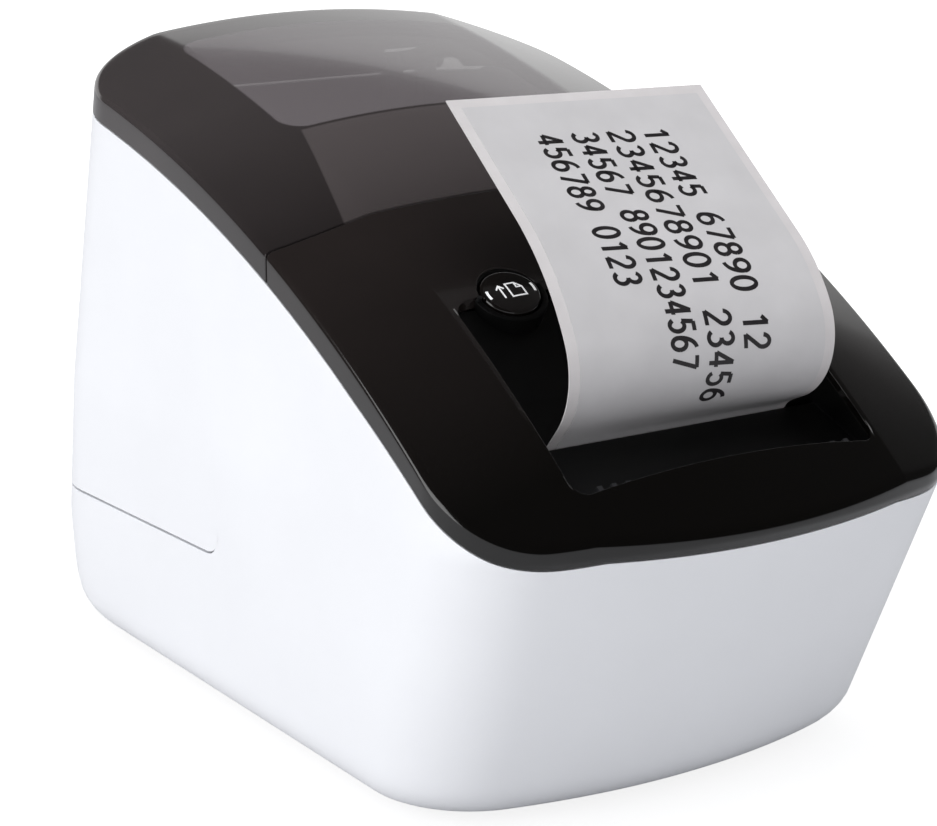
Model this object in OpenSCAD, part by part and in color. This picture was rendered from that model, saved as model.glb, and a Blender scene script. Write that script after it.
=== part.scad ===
// Desktop label printer. Millimetres, +Z up, front faces -Y, origin under the middle of its box.

/* [Casing] */
// Width of the casing at its rim
body_w = 128; // [124:1:136]
// Depth of the casing, front rim to rear foot
body_d = 221; // [216:1:230]
// Height of the highest point of the lid
body_h = 153; // [151:1:160]
// Height of the front rim above the table
front_rim_h = 66; // [63:1:69]
// Height of the white casing above the table
foot_gap = 1.2; // [0.8:0.2:3]
// Width that the casing loses on each side from rim to base
side_taper = 3.3; // [1:0.5:5]
// How far the front rim overhangs the base
front_lean = 29.5; // [24:0.5:33]
// How far the rear wall leans forward at the top
rear_lean = 31.9; // [28:0.5:34]
// Height at which the rear wall starts to lean
rear_lean_from = 30; // [26:1:36]
// Bow of the front wall in plan
front_bow = 14; // [8:1:18]
// Bow of the rear wall in plan
rear_bow = 1.6; // [0.8:0.2:2.4]
// Front corner radius in plan
front_corner_r = 23.6; // [20:0.2:26]
// Rear corner radius in plan
rear_corner_r = 26.1; // [22:0.1:28]
// Radius of the bottom edge at the front and sides
bottom_r = 9.2; // [7:0.1:10]
// Radius of the bottom edge at the rear
rear_bottom_r = 16.9; // [12:0.1:20]
// Wall thickness of the white casing
wall = 2.4; // [1.8:0.1:3]
// Height of the side seam at the rear wall
seam_rear_h = 36.5; // [35.5:0.5:38]
// Rise of the side seam from the rear wall to its front end
seam_rise = 3.4; // [2:0.2:5]
// Place of the seam's front end, ahead of the middle
seam_front_y = 7.5; // [5:0.5:10]
// Radius at the seam's front end
seam_corner_r = 7; // [5:0.5:9]
// Visible gap of the side seam
seam_gap = 0.6; // [0.4:0.1:1]

/* [Black top] */
// Rise of the top from the sides to the crease lines
side_crown = 7.3; // [6.5:0.1:8]
// Further rise from the crease lines to the middle
centre_crown = 3; // [2:0.1:3.6]
// Distance of the crease lines from the middle
crease_x = 39.5; // [39:0.5:42]
// Thickness of the lid and of the front panel
skin = 2.2; // [1.8:0.1:2.4]
// Height of the dark edge band along the sides
side_band = 6.6; // [5.6:0.2:7.4]
// Height of the dark edge band across the front
front_band = 4.3; // [3.6:0.1:5]
// Place of the lid's front edge at the sides, ahead of the middle
lid_seam_y = 20; // [19:0.5:22]
// Further reach of the lid's front edge in the middle
lid_seam_bow = 3.6; // [2:0.2:4.6]
// Gap between the lid and the front panel
lid_gap = 0.5; // [0.4:0.1:0.8]
// Gap between the black top and the white casing
rim_gap = 0.2; // [0.15:0.05:0.4]
// Angle to which the lid opens
lid_open = 100; // [95:1:100]

/* [Outlet] */
// Width of the sunken outlet recess
recess_w = 76.6; // [75:0.2:78]
// Distance of the recess's top edge from the middle of the casing
recess_top_y = 52; // [50:0.5:53]
// Distance of the recess's front edge from the middle of the casing
recess_front_y = 97; // [96:0.5:98]
// Thickness of the recess walls
recess_wall = 1.6; // [1.2:0.1:1.8]
// Width of the slot that the label comes out of
slot_gap = 1; // [0.9:0.1:1.4]
// Depth of the recess at its top edge
recess_step = 1.6; // [1:0.1:2.4]
// Depth of the recess where its ramp ends
ramp_depth = 6; // [5:0.2:7]
// Distance of the ramp's end from the middle of the casing
ramp_end_y = 70.5; // [69.5:0.5:71.5]
// Pitch of the teeth along the outlet's front edge
tooth_pitch = 3.5; // [3:0.1:4.5]
// Length of a tooth
tooth_l = 1.6; // [1.2:0.1:2]

/* [Buttons] */
// Diameter of each button
button_d = 13; // [12:0.2:13.6]
// Distance between buttons
button_pitch = 24.5; // [23.5:0.5:26]
// Distance of the buttons from the middle of the casing
button_y = 53; // [52:0.5:54]
// Travel of a button
button_travel = 0.8; // [0.5:0.1:0.9]
// Clearance round a button
button_gap = 0.35; // [0.3:0.05:0.45]
// Height of a button's rim above the panel
button_proud = 0.8; // [0.4:0.1:1.2]

/* [Label and roll] */
// Width of the carrier strip
label_w = 62; // [60:0.5:63]
// Thickness of the carrier strip
strip_t = 0.3; // [0.2:0.05:0.4]
// Thickness of the die-cut label on the strip
label_t = 0.12; // [0.1:0.02:0.2]
// Margin of bare carrier beside the label
label_margin = 2.4; // [1.5:0.1:3.5]
// Outer diameter of the label roll
roll_d = 82; // [78:1:84]
// Outer diameter of the roll's core tube
core_d = 31; // [29:0.5:34]
// Wall of the core tube
core_wall = 1.5; // [1.2:0.1:2]
// Height of the roll's axis above the table
roll_z = 88; // [87:0.5:90]
// Distance of the roll's axis behind the middle of the casing
roll_y = 47; // [45:0.5:48]
// Length of the strip's left edge past the outlet
exposed_l = 87; // [70:1:92]
// Further length of the strip's right edge
exposed_skew = 6; // [0:0.5:7]
// Radius of the tight curl just past the outlet
curl_r = 17.6; // [16:0.2:19]
// Radius of the loose curl above it
loose_curl_r = 60; // [45:5:80]
// Angle by which the right edge leaves the outlet lower than the left
curl_twist = 26; // [10:1:28]
// Slope of the strip's free end
end_angle = 38.5; // [34:0.5:42]

/* [Print mechanism] */
// Diameter of the rubber platen roller
platen_d = 12; // [11.4:0.1:12.4]
// Distance of the platen's axis ahead of the middle of the casing
platen_y = 61.4; // [61:0.1:62]
// Height of the platen's axis
platen_z = 72.5; // [72:0.1:73]
// Diameter of the platen's steel shaft
shaft_d = 4; // [3.6:0.1:4.4]
// Angle of the outlet path above the horizontal
exit_angle = 50.7; // [49:0.1:52]
// Thickness of the steel side plates
plate_t = 1.5; // [1.2:0.1:1.8]
// Distance between the steel side plates
plate_gap = 84; // [83:0.5:86]
// Gear module
gear_module = 0.8; // [0.75:0.01:0.82]
// Teeth on the motor pinion
pinion_teeth = 12; // [12:1:12]
// Teeth on the idler gear
idler_teeth = 38; // [38:2:40]
// Teeth on the platen gear
platen_teeth = 24; // [24:1:24]
// Width of the gears
gear_w = 4; // [3:0.5:5]
// Diameter of the feed motor
motor_d = 35; // [32:1:35]
// Length of the feed motor
motor_l = 20; // [16:1:22]
// Distance of the feed motor's axis ahead of the middle of the casing
motor_y = 44; // [43.5:0.5:45]
// Height of the feed motor's axis
motor_z = 33; // [32.5:0.5:34]
// Angle by which the print head lifts off the platen
head_lift = 4; // [3:0.5:4.5]

/* [Cutter] */
// Stroke of the moving blade
cut_stroke = 5; // [4:0.5:5.5]
// Thickness of each blade
blade_t = 1; // [0.8:0.1:1.1]
// Distance of the blade plane after the print line
cut_at = 7; // [6.8:0.1:7.4]
// Module of the blade rack and its pinion
rack_module = 0.5; // [0.5:0.01:0.54]
// Teeth on the cutter pinion
cut_teeth = 12; // [12:1:12]

/* [Hidden] */
$fn = 48;

// Overrun of every cut
cut = 1;
// Running clearance of a shaft in its bore
run_gap = 0.05;
// Clearance between neighbouring fixed pieces
fit_gap = 0.2;
// Clearance between pieces that pass each other
pass_gap = 0.4;
// Round faces of a hull's children

white = [0.95, 0.95, 0.96];
black = [0.07, 0.065, 0.065];
smoke = [0.25, 0.23, 0.23, 0.6];
steel = [0.62, 0.63, 0.65];
dark_plastic = [0.14, 0.14, 0.15];
paper_white = [0.86, 0.86, 0.87];
board_green = [0.1, 0.32, 0.2];

// Outline of the casing

half_body_w = body_w / 2;
rim_w = half_body_w;
plan_front = -body_d / 2;
plan_rear = body_d / 2;
rear_top_y = plan_rear - rear_lean;
crown_h = side_crown + centre_crown;
base_z = foot_gap;

// Steepness of the top at its front, middle and rear, as shares
front_steep_share = 0.857;
middle_steep_share = 0.424;
rear_steep_share = 0.163;

function edge_in(z, r, t) =
    z >= r ? t : r - sqrt(max(0, (r - t) * (r - t) - (r - z) * (r - z)));
function half_w(z, t) =
    rim_w - side_taper * (1 - min(1, z / front_rim_h)) - edge_in(z - base_z, bottom_r, t);
function front_y(z, t) =
    plan_front + front_lean * (1 - min(1, z / front_rim_h)) + edge_in(z - base_z, bottom_r, t);
function rear_y(z, t) =
    plan_rear - rear_lean * max(0, z - rear_lean_from) / (body_h - rear_lean_from)
    - edge_in(z - base_z, rear_bottom_r, t);
function bow_at(x, bow) = bow * pow(x / half_body_w, 2);

// Right half of the outline at one height, from the front's middle to the rear's middle
corner_steps = 5;
edge_steps = 3;
function half_outline(z, t) =
    let (w = half_w(z, t), rf = front_corner_r - t, rr = rear_corner_r - t,
         xf = w - rf, xr = w - rr,
         yf = front_y(z, t), yr = rear_y(z, t),
         cf = yf + bow_at(xf, front_bow) + rf, cr = yr - bow_at(xr, rear_bow) - rr)
    concat(
        [for (k = [0:edge_steps - 1]) let (x = xf * k / edge_steps) [x, yf + bow_at(x, front_bow)]],
        [for (k = [0:corner_steps]) let (a = 90 * k / corner_steps) [xf + rf * sin(a), cf - rf * cos(a)]],
        [for (k = [0:corner_steps]) let (a = 90 * k / corner_steps) [xr + rr * cos(a), cr + rr * sin(a)]],
        [for (k = [edge_steps - 1:-1:0]) let (x = xr * k / edge_steps) [x, yr - bow_at(x, rear_bow)]]);
function outline(z, t) =
    let (h = half_outline(z, t), n = len(h))
    concat(h, [for (k = [n - 2:-1:1]) [-h[k][0], h[k][1]]]);

// Closed solid through one ring of points a level
function ring_faces(n, levels) = concat(
    [[for (k = [0:n - 1]) k]],
    [for (i = [0:levels - 2], k = [0:n - 1], f = [0, 1])
        let (a = i * n + k, b = i * n + (k + 1) % n)
        f == 0 ? [a, a + n, b] : [b, a + n, b + n]],
    [[for (k = [n - 1:-1:0]) (levels - 1) * n + k]]);
module casing_solid(t, levels) {
    rings = [for (z = levels) [for (p = outline(z, t)) [p[0], p[1], z]]];
    n = len(rings[0]);
    polyhedron([for (r = rings) each r], ring_faces(n, len(levels)));
}

round_shares = [0, 0.12, 0.35, 0.65];
tall_z = body_h + cut;
function levels_from(z0) = concat(
    [for (s = round_shares) if (base_z + s * bottom_r >= z0) base_z + s * bottom_r],
    [base_z + bottom_r, base_z + (bottom_r + rear_bottom_r) / 2, base_z + rear_bottom_r],
    [rear_lean_from, front_rim_h, tall_z]);
module outer_solid() {
    casing_solid(0, levels_from(base_z));
}
floor_z = base_z + wall;
module inner_solid(t) {
    casing_solid(t, concat([floor_z], levels_from(floor_z + fit_gap), [tall_z + cut]));
}

// Crowned top

top_run = rear_top_y - plan_front;
function steep_sum(t) =
    front_steep_share * (t - 1.5 * t * t + 2 / 3 * t * t * t)
    + middle_steep_share * (2 * t * t - 4 / 3 * t * t * t)
    + rear_steep_share * (2 / 3 * t * t * t - t * t / 2);
rim_front_share = 0.6;
side_front_z = front_rim_h - front_bow * rim_front_share;
side_rise = body_h - crown_h - side_front_z;
function side_top_z(y) = side_front_z + side_rise * steep_sum((y - plan_front) / top_run) / steep_sum(1);
function crown_at(x) =
    abs(x) < crease_x ? side_crown + centre_crown * (1 - pow(x / crease_x, 2))
    : side_crown * (half_body_w - abs(x)) / (half_body_w - crease_x);
function top_z(x, y) = side_top_z(y) + crown_at(x);
function top_slope(y) = (side_top_z(y + cut) - side_top_z(y - cut)) / (2 * cut);

// Solid under the crowned top between two places along Y, its top lowered by drop
crown_x_shares = [0, 0.22, 0.44, 0.617, 0.81, 1.06];
crown_xs = concat([for (k = [5:-1:1]) -crown_x_shares[k] * half_body_w],
                  [for (s = crown_x_shares) s * half_body_w]);
module under_top(drop, y0, y1, rows) {
    n = len(crown_xs);
    low = n * (rows + 1);
    pts = concat(
        [for (j = [0:rows], x = crown_xs)
            let (y = y0 + (y1 - y0) * j / rows) [x, y, top_z(x, y) - drop]],
        [for (y = [y0, y1], x = [crown_xs[0], crown_xs[n - 1]]) [x, y, 0]]);
    polyhedron(pts, concat(
        [for (j = [0:rows - 1], i = [0:n - 2], f = [0, 1])
            let (a = j * n + i, b = a + n)
            f == 0 ? [a, b, a + 1] : [a + 1, b, b + 1]],
        [concat([for (j = [rows:-1:0]) j * n], [low, low + 2])],
        [concat([for (j = [0:rows]) j * n + n - 1], [low + 3, low + 1])],
        [concat([for (i = [0:n - 1]) i], [low + 1, low])],
        [concat([for (i = [n - 1:-1:0]) rows * n + i], [low + 2, low + 3])],
        [[low, low + 1, low + 3, low + 2]]));
}

// Lower edge of the dark band, which the white rim follows

hinge_r = 2.5;
hinge_drop = 15;
rear_rim_gap = 0.9;
hinge_z = body_h - hinge_drop;
hinge_y = rear_y(hinge_z, 0) - hinge_r;
rear_band_z = hinge_z - hinge_r;
band_grow_share = 0.25;
function band_at(y) =
    front_band + (side_band - front_band) * min(1, max(0, (y - plan_front) / (band_grow_share * body_d)));
rim_steps = 12;
// Places along Y and heights of the band's lower edge, from front to rear
function rim_points() =
    let (h = half_outline(front_rim_h, 0), last = edge_steps + corner_steps, y0 = h[last][1])
    concat(
        [for (k = [0:last]) [h[k][1], top_z(h[k][0], h[k][1]) - band_at(h[k][1])]],
        [for (k = [1:rim_steps])
            let (y = y0 + (rear_top_y - y0) * k / rim_steps) [y, side_top_z(y) - side_band]]);
function rim_profile(lift) = [for (p = rim_points()) [p[0], min(rear_band_z, p[1]) + lift]];

// Side view drawn in Y and Z, extruded along X
module side_view(w) {
    rotate([90, 0, 90]) translate([0, 0, -w / 2]) linear_extrude(w) children();
}
wide = body_w + body_w;
tall = body_h + body_h;
module above_rim(lift) {
    r = rim_profile(lift);
    side_view(wide) polygon(concat(
        [[plan_front - body_d, r[0][1]]], r,
        [[plan_rear + body_d, r[len(r) - 1][1]], [plan_rear + body_d, tall], [plan_front - body_d, tall]]));
}

// Region of the rear cover in side view, its lower edge raised by gap
arc_steps = 6;
function seam_z(y) = seam_rear_h + seam_rise * (plan_rear - y) / (plan_rear - seam_front_y);
module rear_cover_region(gap) {
    cy = seam_front_y + seam_corner_r;
    cz = seam_z(cy) + seam_corner_r;
    side_view(wide) polygon(concat(
        [[seam_front_y, tall]],
        [for (k = [0:arc_steps])
            let (a = 90 * k / arc_steps)
            [cy - seam_corner_r * cos(a), cz - (seam_corner_r - gap) * sin(a)]],
        [[plan_rear + cut, seam_z(plan_rear) + gap], [plan_rear + cut, tall]]));
}

// White casing

plate_inset = 3;
plate_front_inset = 4;
plate_corner_less = 1.6;
plate_corner_r = front_corner_r - plate_corner_less;
module rounded_box(x, y0, y1, r, h) {
    linear_extrude(h) union() {
        translate([-x, y0 + r]) square([2 * x, y1 - y0 - 2 * r]);
        translate([-x + r, y0]) square([2 * (x - r), y1 - y0]);
        for (sx = [-1, 1], y = [y0 + r, y1 - r]) translate([sx * (x - r), y]) circle(r = r);
    }
}
module base_outline(gap, h) {
    rounded_box(half_w(base_z, 0) - plate_inset - gap, front_y(base_z, 0) + plate_front_inset + gap,
        rear_y(base_z, 0) - plate_front_inset - gap, plate_corner_r - gap, h);
}
module white_shell() {
    difference() {
        outer_solid();
        inner_solid(wall);
        above_rim(-rim_gap);
        translate([-body_w, hinge_y - hinge_r, rear_band_z - rear_rim_gap]) cube([wide, body_d, body_h]);
        translate([0, 0, base_z - cut]) base_outline(0, wall + 2 * cut);
    }
}

boss_r = 4;
boss_h = 11;
boss_x = 43.5;
boss_ys = [-20, 58];
boss_rib_h = 6;
screw_r = 1.4;
module bosses() {
    rib_l = half_w(floor_z + boss_h, wall) + wall / 2 - boss_x;
    for (x = [-boss_x, boss_x], y = boss_ys) difference() {
        union() {
            translate([x, y, floor_z + fit_gap]) cylinder(r = boss_r, h = boss_h - fit_gap);
            translate([x > 0 ? x : x - rib_l, y - wall / 2, floor_z + boss_h - boss_rib_h])
                cube([rib_l, wall, boss_rib_h]);
        }
        translate([x, y, floor_z]) cylinder(r = screw_r, h = boss_h - cut);
    }
}

inlet_x = 24;
inlet_w = 26;
inlet_h = 17;
usb_x = -24;
usb_w = 13;
usb_h = 11.5;
post_h = 6;
board_t = 1.6;
board_z = floor_z + post_h;
board_top = board_z + board_t;
module socket_opening(x, w, h, gap) {
    translate([x - w / 2 - gap, plan_rear - body_d / 10, board_top - gap])
        cube([w + 2 * gap, body_d, h + 2 * gap]);
}
module main_casing() color(white) {
    difference() {
        white_shell();
        rear_cover_region(0);
        socket_opening(inlet_x, inlet_w, inlet_h, fit_gap);
        socket_opening(usb_x, usb_w, usb_h, fit_gap);
    }
    bosses();
}

lug_w = 4;
knuckle_w = 5.4;
knuckle_x = 33;
lug_gap = 0.3;
pin_r = 1.2;
lug_depth = 16;
module hinge_lugs() {
    for (side = [-1, 1], end = [-1, 1])
        translate([side * knuckle_x + end * (knuckle_w / 2 + lug_gap + lug_w / 2), 0, 0]) difference() {
            union() {
                translate([-lug_w / 2, hinge_y, hinge_z]) rotate([0, 90, 0]) cylinder(r = hinge_r, h = lug_w);
                translate([-lug_w / 2, hinge_y - hinge_r, hinge_z - lug_depth])
                    cube([lug_w, 2 * hinge_r, lug_depth]);
            }
            translate([-lug_w, hinge_y, hinge_z]) rotate([0, 90, 0])
                cylinder(r = pin_r + run_gap / 2, h = 2 * lug_w);
        }
}
module rear_cover() color(white) {
    intersection() {
        white_shell();
        rear_cover_region(seam_gap);
    }
    hinge_lugs();
}
module hinge_pins() color(steel) {
    pin_l = knuckle_w + 2 * (lug_gap + lug_w);
    for (side = [-1, 1])
        translate([side * knuckle_x - pin_l / 2, hinge_y, hinge_z]) rotate([0, 90, 0])
            cylinder(r = pin_r, h = pin_l);
}

foot_r = 6;
foot_sink = 1;
foot_x = 36;
foot_ys = [-50, 74];
module base_plate() color(dark_plastic) difference() {
    translate([0, 0, base_z]) base_outline(fit_gap, wall);
    for (x = [-foot_x, foot_x], y = foot_ys)
        translate([x, y, base_z - cut]) cylinder(r = foot_r, h = foot_sink + cut);
    for (x = [-boss_x, boss_x], y = boss_ys)
        translate([x, y, base_z - cut]) cylinder(r = screw_r + fit_gap, h = wall + 2 * cut);
}
module feet() color([0.08, 0.08, 0.08])
    for (x = [-foot_x, foot_x], y = foot_ys)
        translate([x, y, 0]) cylinder(r1 = foot_r - foot_sink, r2 = foot_r - fit_gap / 2,
            h = base_z + foot_sink);
screw_head_r = 2.6;
screw_head_h = 1;
module case_screws() color(steel)
    for (x = [-boss_x, boss_x], y = boss_ys) translate([x, y, base_z - screw_head_h]) {
        cylinder(r = screw_head_r, h = screw_head_h);
        cylinder(r = screw_r, h = screw_head_h + wall + boss_h - 2 * cut);
    }

// Line between the lid and the front panel

function lid_seam(x) = -lid_seam_y - lid_seam_bow * (1 - pow(x / half_body_w, 2));
seam_steps = 8;
module behind_seam(gap) {
    xs = [for (k = [0:seam_steps]) half_body_w * (2 * k / seam_steps - 1)];
    translate([0, 0, front_rim_h / 2]) linear_extrude(tall) polygon(concat(
        [[-body_w, lid_seam(half_body_w) + gap]],
        [for (x = xs) [x, lid_seam(x) + gap]],
        [[body_w, lid_seam(half_body_w) + gap], [body_w, plan_rear + body_d],
            [-body_w, plan_rear + body_d]]));
}
top_rows = 14;
module black_skin(y0, y1) {
    low = front_rim_h - side_band;
    difference() {
        intersection() {
            casing_solid(0, [low, front_rim_h, tall_z]);
            under_top(0, y0, y1, top_rows);
            above_rim(0);
        }
        intersection() {
            casing_solid(skin, [low - cut, front_rim_h, tall_z]);
            under_top(skin, y0 - cut, y1 + cut, top_rows);
        }
    }
}

// Lid

notch_gap = 0.8;
module lid() color(smoke) difference() {
    union() {
        difference() {
            intersection() {
                black_skin(-lid_seam_y - lid_seam_bow - cut, rear_top_y + cut);
                behind_seam(lid_gap / 2);
            }
            translate([-body_w, hinge_y, 0]) cube([wide, body_d, hinge_z]);
        }
        for (x = [-barrel_x1, barrel_x0])
            translate([x, hinge_y, hinge_z]) rotate([0, 90, 0])
                cylinder(r = hinge_r, h = barrel_x1 - barrel_x0);
        translate([-barrel_x2, hinge_y, hinge_z]) rotate([0, 90, 0]) cylinder(r = hinge_r, h = 2 * barrel_x2);
    }
    for (side = [-1, 1]) translate([side * knuckle_x - notch_w / 2, hinge_y - hinge_r - 2 * notch_gap, 0])
        cube([notch_w, body_d, hinge_z + hinge_r + notch_gap]);
}
notch_w = knuckle_w + 2 * (lug_gap + lug_w + notch_gap);
barrel_x2 = knuckle_x - notch_w / 2;
barrel_x0 = knuckle_x + notch_w / 2;
barrel_w = 2;
barrel_x1 = barrel_x0 + barrel_w;

// Inner frame of the lid, which leaves the window clear
frame_t = 1.8;
frame_drop = skin + fit_gap / 2;
window_y0 = 15;
window_y1 = 62;
window_r = 5;
frame_ahead = 3;
frame_front = lid_seam_y - frame_ahead;
frame_rear = 66;
frame_corner_r = 20;
frame_x = half_body_w - skin - fit_gap - 1;
arm_t = 3;
hook_xs = [-47, -31, 31, 47];
hook_w = 3;
hook_l = 13;
hook_t = 2.4;
module lid_frame() color(black) {
    difference() {
        intersection() {
            rounded_box(frame_x, -frame_front, frame_rear, frame_corner_r, tall);
            under_top(frame_drop, -frame_front - cut, frame_rear + cut, top_rows);
        }
        under_top(frame_drop + frame_t, -frame_front - 2 * cut, frame_rear + 2 * cut, top_rows);
        rounded_box(crease_x, window_y0, window_y1, window_r, tall);
    }
    arm_z = top_z(knuckle_x, frame_rear - window_r) - frame_drop - frame_t;
    for (side = [-1, 1]) translate([side * knuckle_x - knuckle_w / 2, 0, 0]) difference() {
        union() {
            translate([0, hinge_y, hinge_z]) rotate([0, 90, 0]) cylinder(r = hinge_r, h = knuckle_w);
            rotate([90, 0, 90]) linear_extrude(knuckle_w) polygon([
                [hinge_y, hinge_z - hinge_r + arm_drop], [hinge_y, hinge_z + hinge_r - arm_drop],
                [frame_rear - window_r / 2, arm_z + frame_t / 2], [window_y1 + cut, arm_z + frame_t / 2],
                [window_y1 + cut, arm_z - arm_t]]);
        }
        translate([-knuckle_w, hinge_y, hinge_z]) rotate([0, 90, 0])
            cylinder(r = pin_r + run_gap, h = 3 * knuckle_w);
    }
    for (x = hook_xs) {
        z1 = top_z(x, -frame_front + hook_t) - frame_drop - frame_t / 2;
        translate([x - hook_w / 2, -frame_front + hook_t / 2, z1 - hook_l]) cube([hook_w, hook_t, hook_l]);
    }
}
arm_drop = 0.6;

// Print line: the strip's contact with the platen, seen in a frame whose Z is the way out

platen_r = platen_d / 2;
shaft_r = shaft_d / 2;
roll_r = roll_d / 2;
core_r = core_d / 2;
half_strip = strip_t / 2;
wrap_r = platen_r + run_gap + half_strip;
unroll_r = roll_r + run_gap + half_strip;
platen_at = [-platen_y, platen_z];
roll_at = [roll_y, roll_z];
function heading(a) = [cos(a), sin(a)];
out_angle = 180 - exit_angle;
exit_dir = heading(out_angle);
head_dir = heading(out_angle + 90);
nip_at = platen_at + wrap_r * head_dir;
mouth_l = 15;
lip_l = 3.6;
mouth_at = nip_at + mouth_l * exit_dir;
module at_nip() {
    translate([0, nip_at[0], nip_at[1]]) rotate([90 - exit_angle, 0, 0]) children();
}
// Box between pairs of coordinates
module block(x, y, z) {
    translate([x[0], y[0], z[0]]) cube([x[1] - x[0], y[1] - y[0], z[1] - z[0]]);
}
module rod(r, x0, x1, at) {
    translate([x0, at[0], at[1]]) rotate([0, 90, 0]) cylinder(r = r, h = x1 - x0);
}

// Band of thickness t on the left of a line through points
function way(p, q) = (q - p) / norm(q - p);
function left_of(pts, i) =
    let (a = i > 0 ? way(pts[i - 1], pts[i]) : way(pts[i], pts[i + 1]),
         b = i < len(pts) - 1 ? way(pts[i], pts[i + 1]) : a, u = way([0, 0], a + b))
    [-u[1], u[0]] / (u * a);
function offset_line(pts, t) = [for (i = [0:len(pts) - 1]) pts[i] + t * left_of(pts, i)];
function band(pts, t0, t1) = let (a = offset_line(pts, t0), b = offset_line(pts, t1))
    concat(a, [for (i = [len(b) - 1:-1:0]) b[i]]);

// Front panel with the outlet recess and the button wells

outlet_drop = 7;
outlet_front_gap = 2.5;
ramp_top = [-recess_top_y, top_z(crease_x, -recess_top_y) - recess_step];
ramp_end = [-ramp_end_y, top_z(crease_x, -ramp_end_y) - ramp_depth];
half_slot = slot_gap / 2;
lip_rear = mouth_at - half_slot * head_dir;
lip_front = mouth_at + half_slot * head_dir;
tub_front_y = -recess_front_y + outlet_front_gap;
tub_front = [tub_front_y, lip_front[1] - outlet_drop];
tub_rim = [-recess_front_y, top_z(crease_x, -recess_front_y)];
rear_path = [ramp_top, ramp_end, lip_rear, lip_rear - lip_l * exit_dir];
front_path = [lip_front - lip_l * exit_dir, lip_front, tub_front, tub_rim];
tub_sink = skin / 2;
recess_corner_r = 3.5;
module recess_tub() {
    half = recess_w / 2;
    intersection() {
        union() {
            side_view(recess_w + 2 * recess_wall) {
                polygon(band(concat([ramp_top + [recess_wall, tub_sink]], rear_path), 0, recess_wall));
                polygon(band(concat(front_path, [tub_rim + [0, skin]]), 0, recess_wall));
            }
            for (side = [-1, 1])
                translate([side * (half + recess_wall / 2), 0, 0]) side_view(recess_wall)
                    polygon(concat([ramp_top + [recess_wall, body_h]],
                        offset_line(rear_path, recess_wall / 2),
                        offset_line(front_path, recess_wall / 2), [tub_rim + [0, body_h]]));
        }
        under_top(tub_sink, -recess_front_y - skin, -recess_top_y + skin, tub_rows);
    }
}
tub_rows = 6;

button_r = button_d / 2;
bezel_w = 1.35;
bezel_r = button_r + button_gap + bezel_w;
button_tilt = atan(top_slope(-button_y));
button_xs = [-button_pitch, 0, button_pitch];
bezel_sink = 0.3;
bezel_h = 7;
module at_button(x) {
    translate([x, -button_y, top_z(x, -button_y)]) rotate([button_tilt, 0, 0]) children();
}
flange_t = 1;
flange_rim = 1.2;
flange_r = button_r + flange_rim;
board_drop = 15;
board_thick = 1.6;
board_x = 38.5;
board_y = 8;
button_post_r = 2.5;
button_post_at = 3.5;
button_post_xs = [-1.5 * button_pitch, -button_pitch / 2, button_pitch / 2, 1.5 * button_pitch];
small_screw_r = 1.1;
small_head_r = 2;
small_head_h = 1;
pipe_r = 0.5;
pipe_at = button_r + button_gap + bezel_w / 2;
module button_posts() intersection() {
    at_button(0) for (x = button_post_xs) translate([x, button_post_at, -board_drop]) difference() {
        cylinder(r = button_post_r, h = 2 * board_drop);
        translate([0, 0, -cut]) cylinder(r = small_screw_r, h = board_drop / 2);
    }
    under_top(tub_sink, -recess_top_y - board_y, -lid_seam_y - lid_seam_bow, tub_rows);
}
module front_panel() color(black) {
    difference() {
        union() {
            difference() {
                black_skin(plan_front - cut, -lid_seam_y + lid_gap);
                behind_seam(-lid_gap / 2);
                rounded_box(recess_w / 2, -recess_front_y, -recess_top_y, recess_corner_r, tall);
            }
            recess_tub();
            for (x = button_xs) at_button(x) translate([0, 0, -bezel_h])
                cylinder(r = bezel_r, h = bezel_h - bezel_sink);
        }
        for (x = button_xs) at_button(x) {
            translate([0, 0, -2 * bezel_h]) cylinder(r = button_r + button_gap, h = 3 * bezel_h);
            translate([0, 0, -3 * bezel_h]) cylinder(r = flange_r + pass_gap, h = 2 * bezel_h);
            for (side = [-1, 1]) translate([side * pipe_at, 0, -bezel_h - cut])
                cylinder(r = pipe_r, h = 2 * bezel_h);
        }
    }
    button_posts();
}
module light_pipes() color(white)
    for (x = button_xs, side = [-1, 1]) at_button(x)
        translate([side * pipe_at, 0, -bezel_h]) cylinder(r = pipe_r, h = bezel_h);

// Teeth along the front of the outlet
comb_t = 0.8;
comb_from_share = 0.3;
comb_to_share = 0.8;
comb_gap = 0.05;
comb_tooth_w = 1.2;
module outlet_comb() color(dark_plastic) {
    p = tub_front + comb_from_share * (tub_rim - tub_front);
    q = tub_front + comb_to_share * (tub_rim - tub_front);
    half = recess_w / 2 - recess_corner_r;
    side_view(2 * half) polygon(band([p, q], -comb_gap, -comb_gap - comb_t));
    count = floor((half - tooth_pitch / 2) / tooth_pitch);
    for (k = [-count:count]) translate([k * tooth_pitch, 0, 0])
        side_view(comb_tooth_w) polygon(band([(p + q) / 2, q], -comb_gap, -comb_gap - comb_t - tooth_l));
}

// Push buttons

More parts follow.
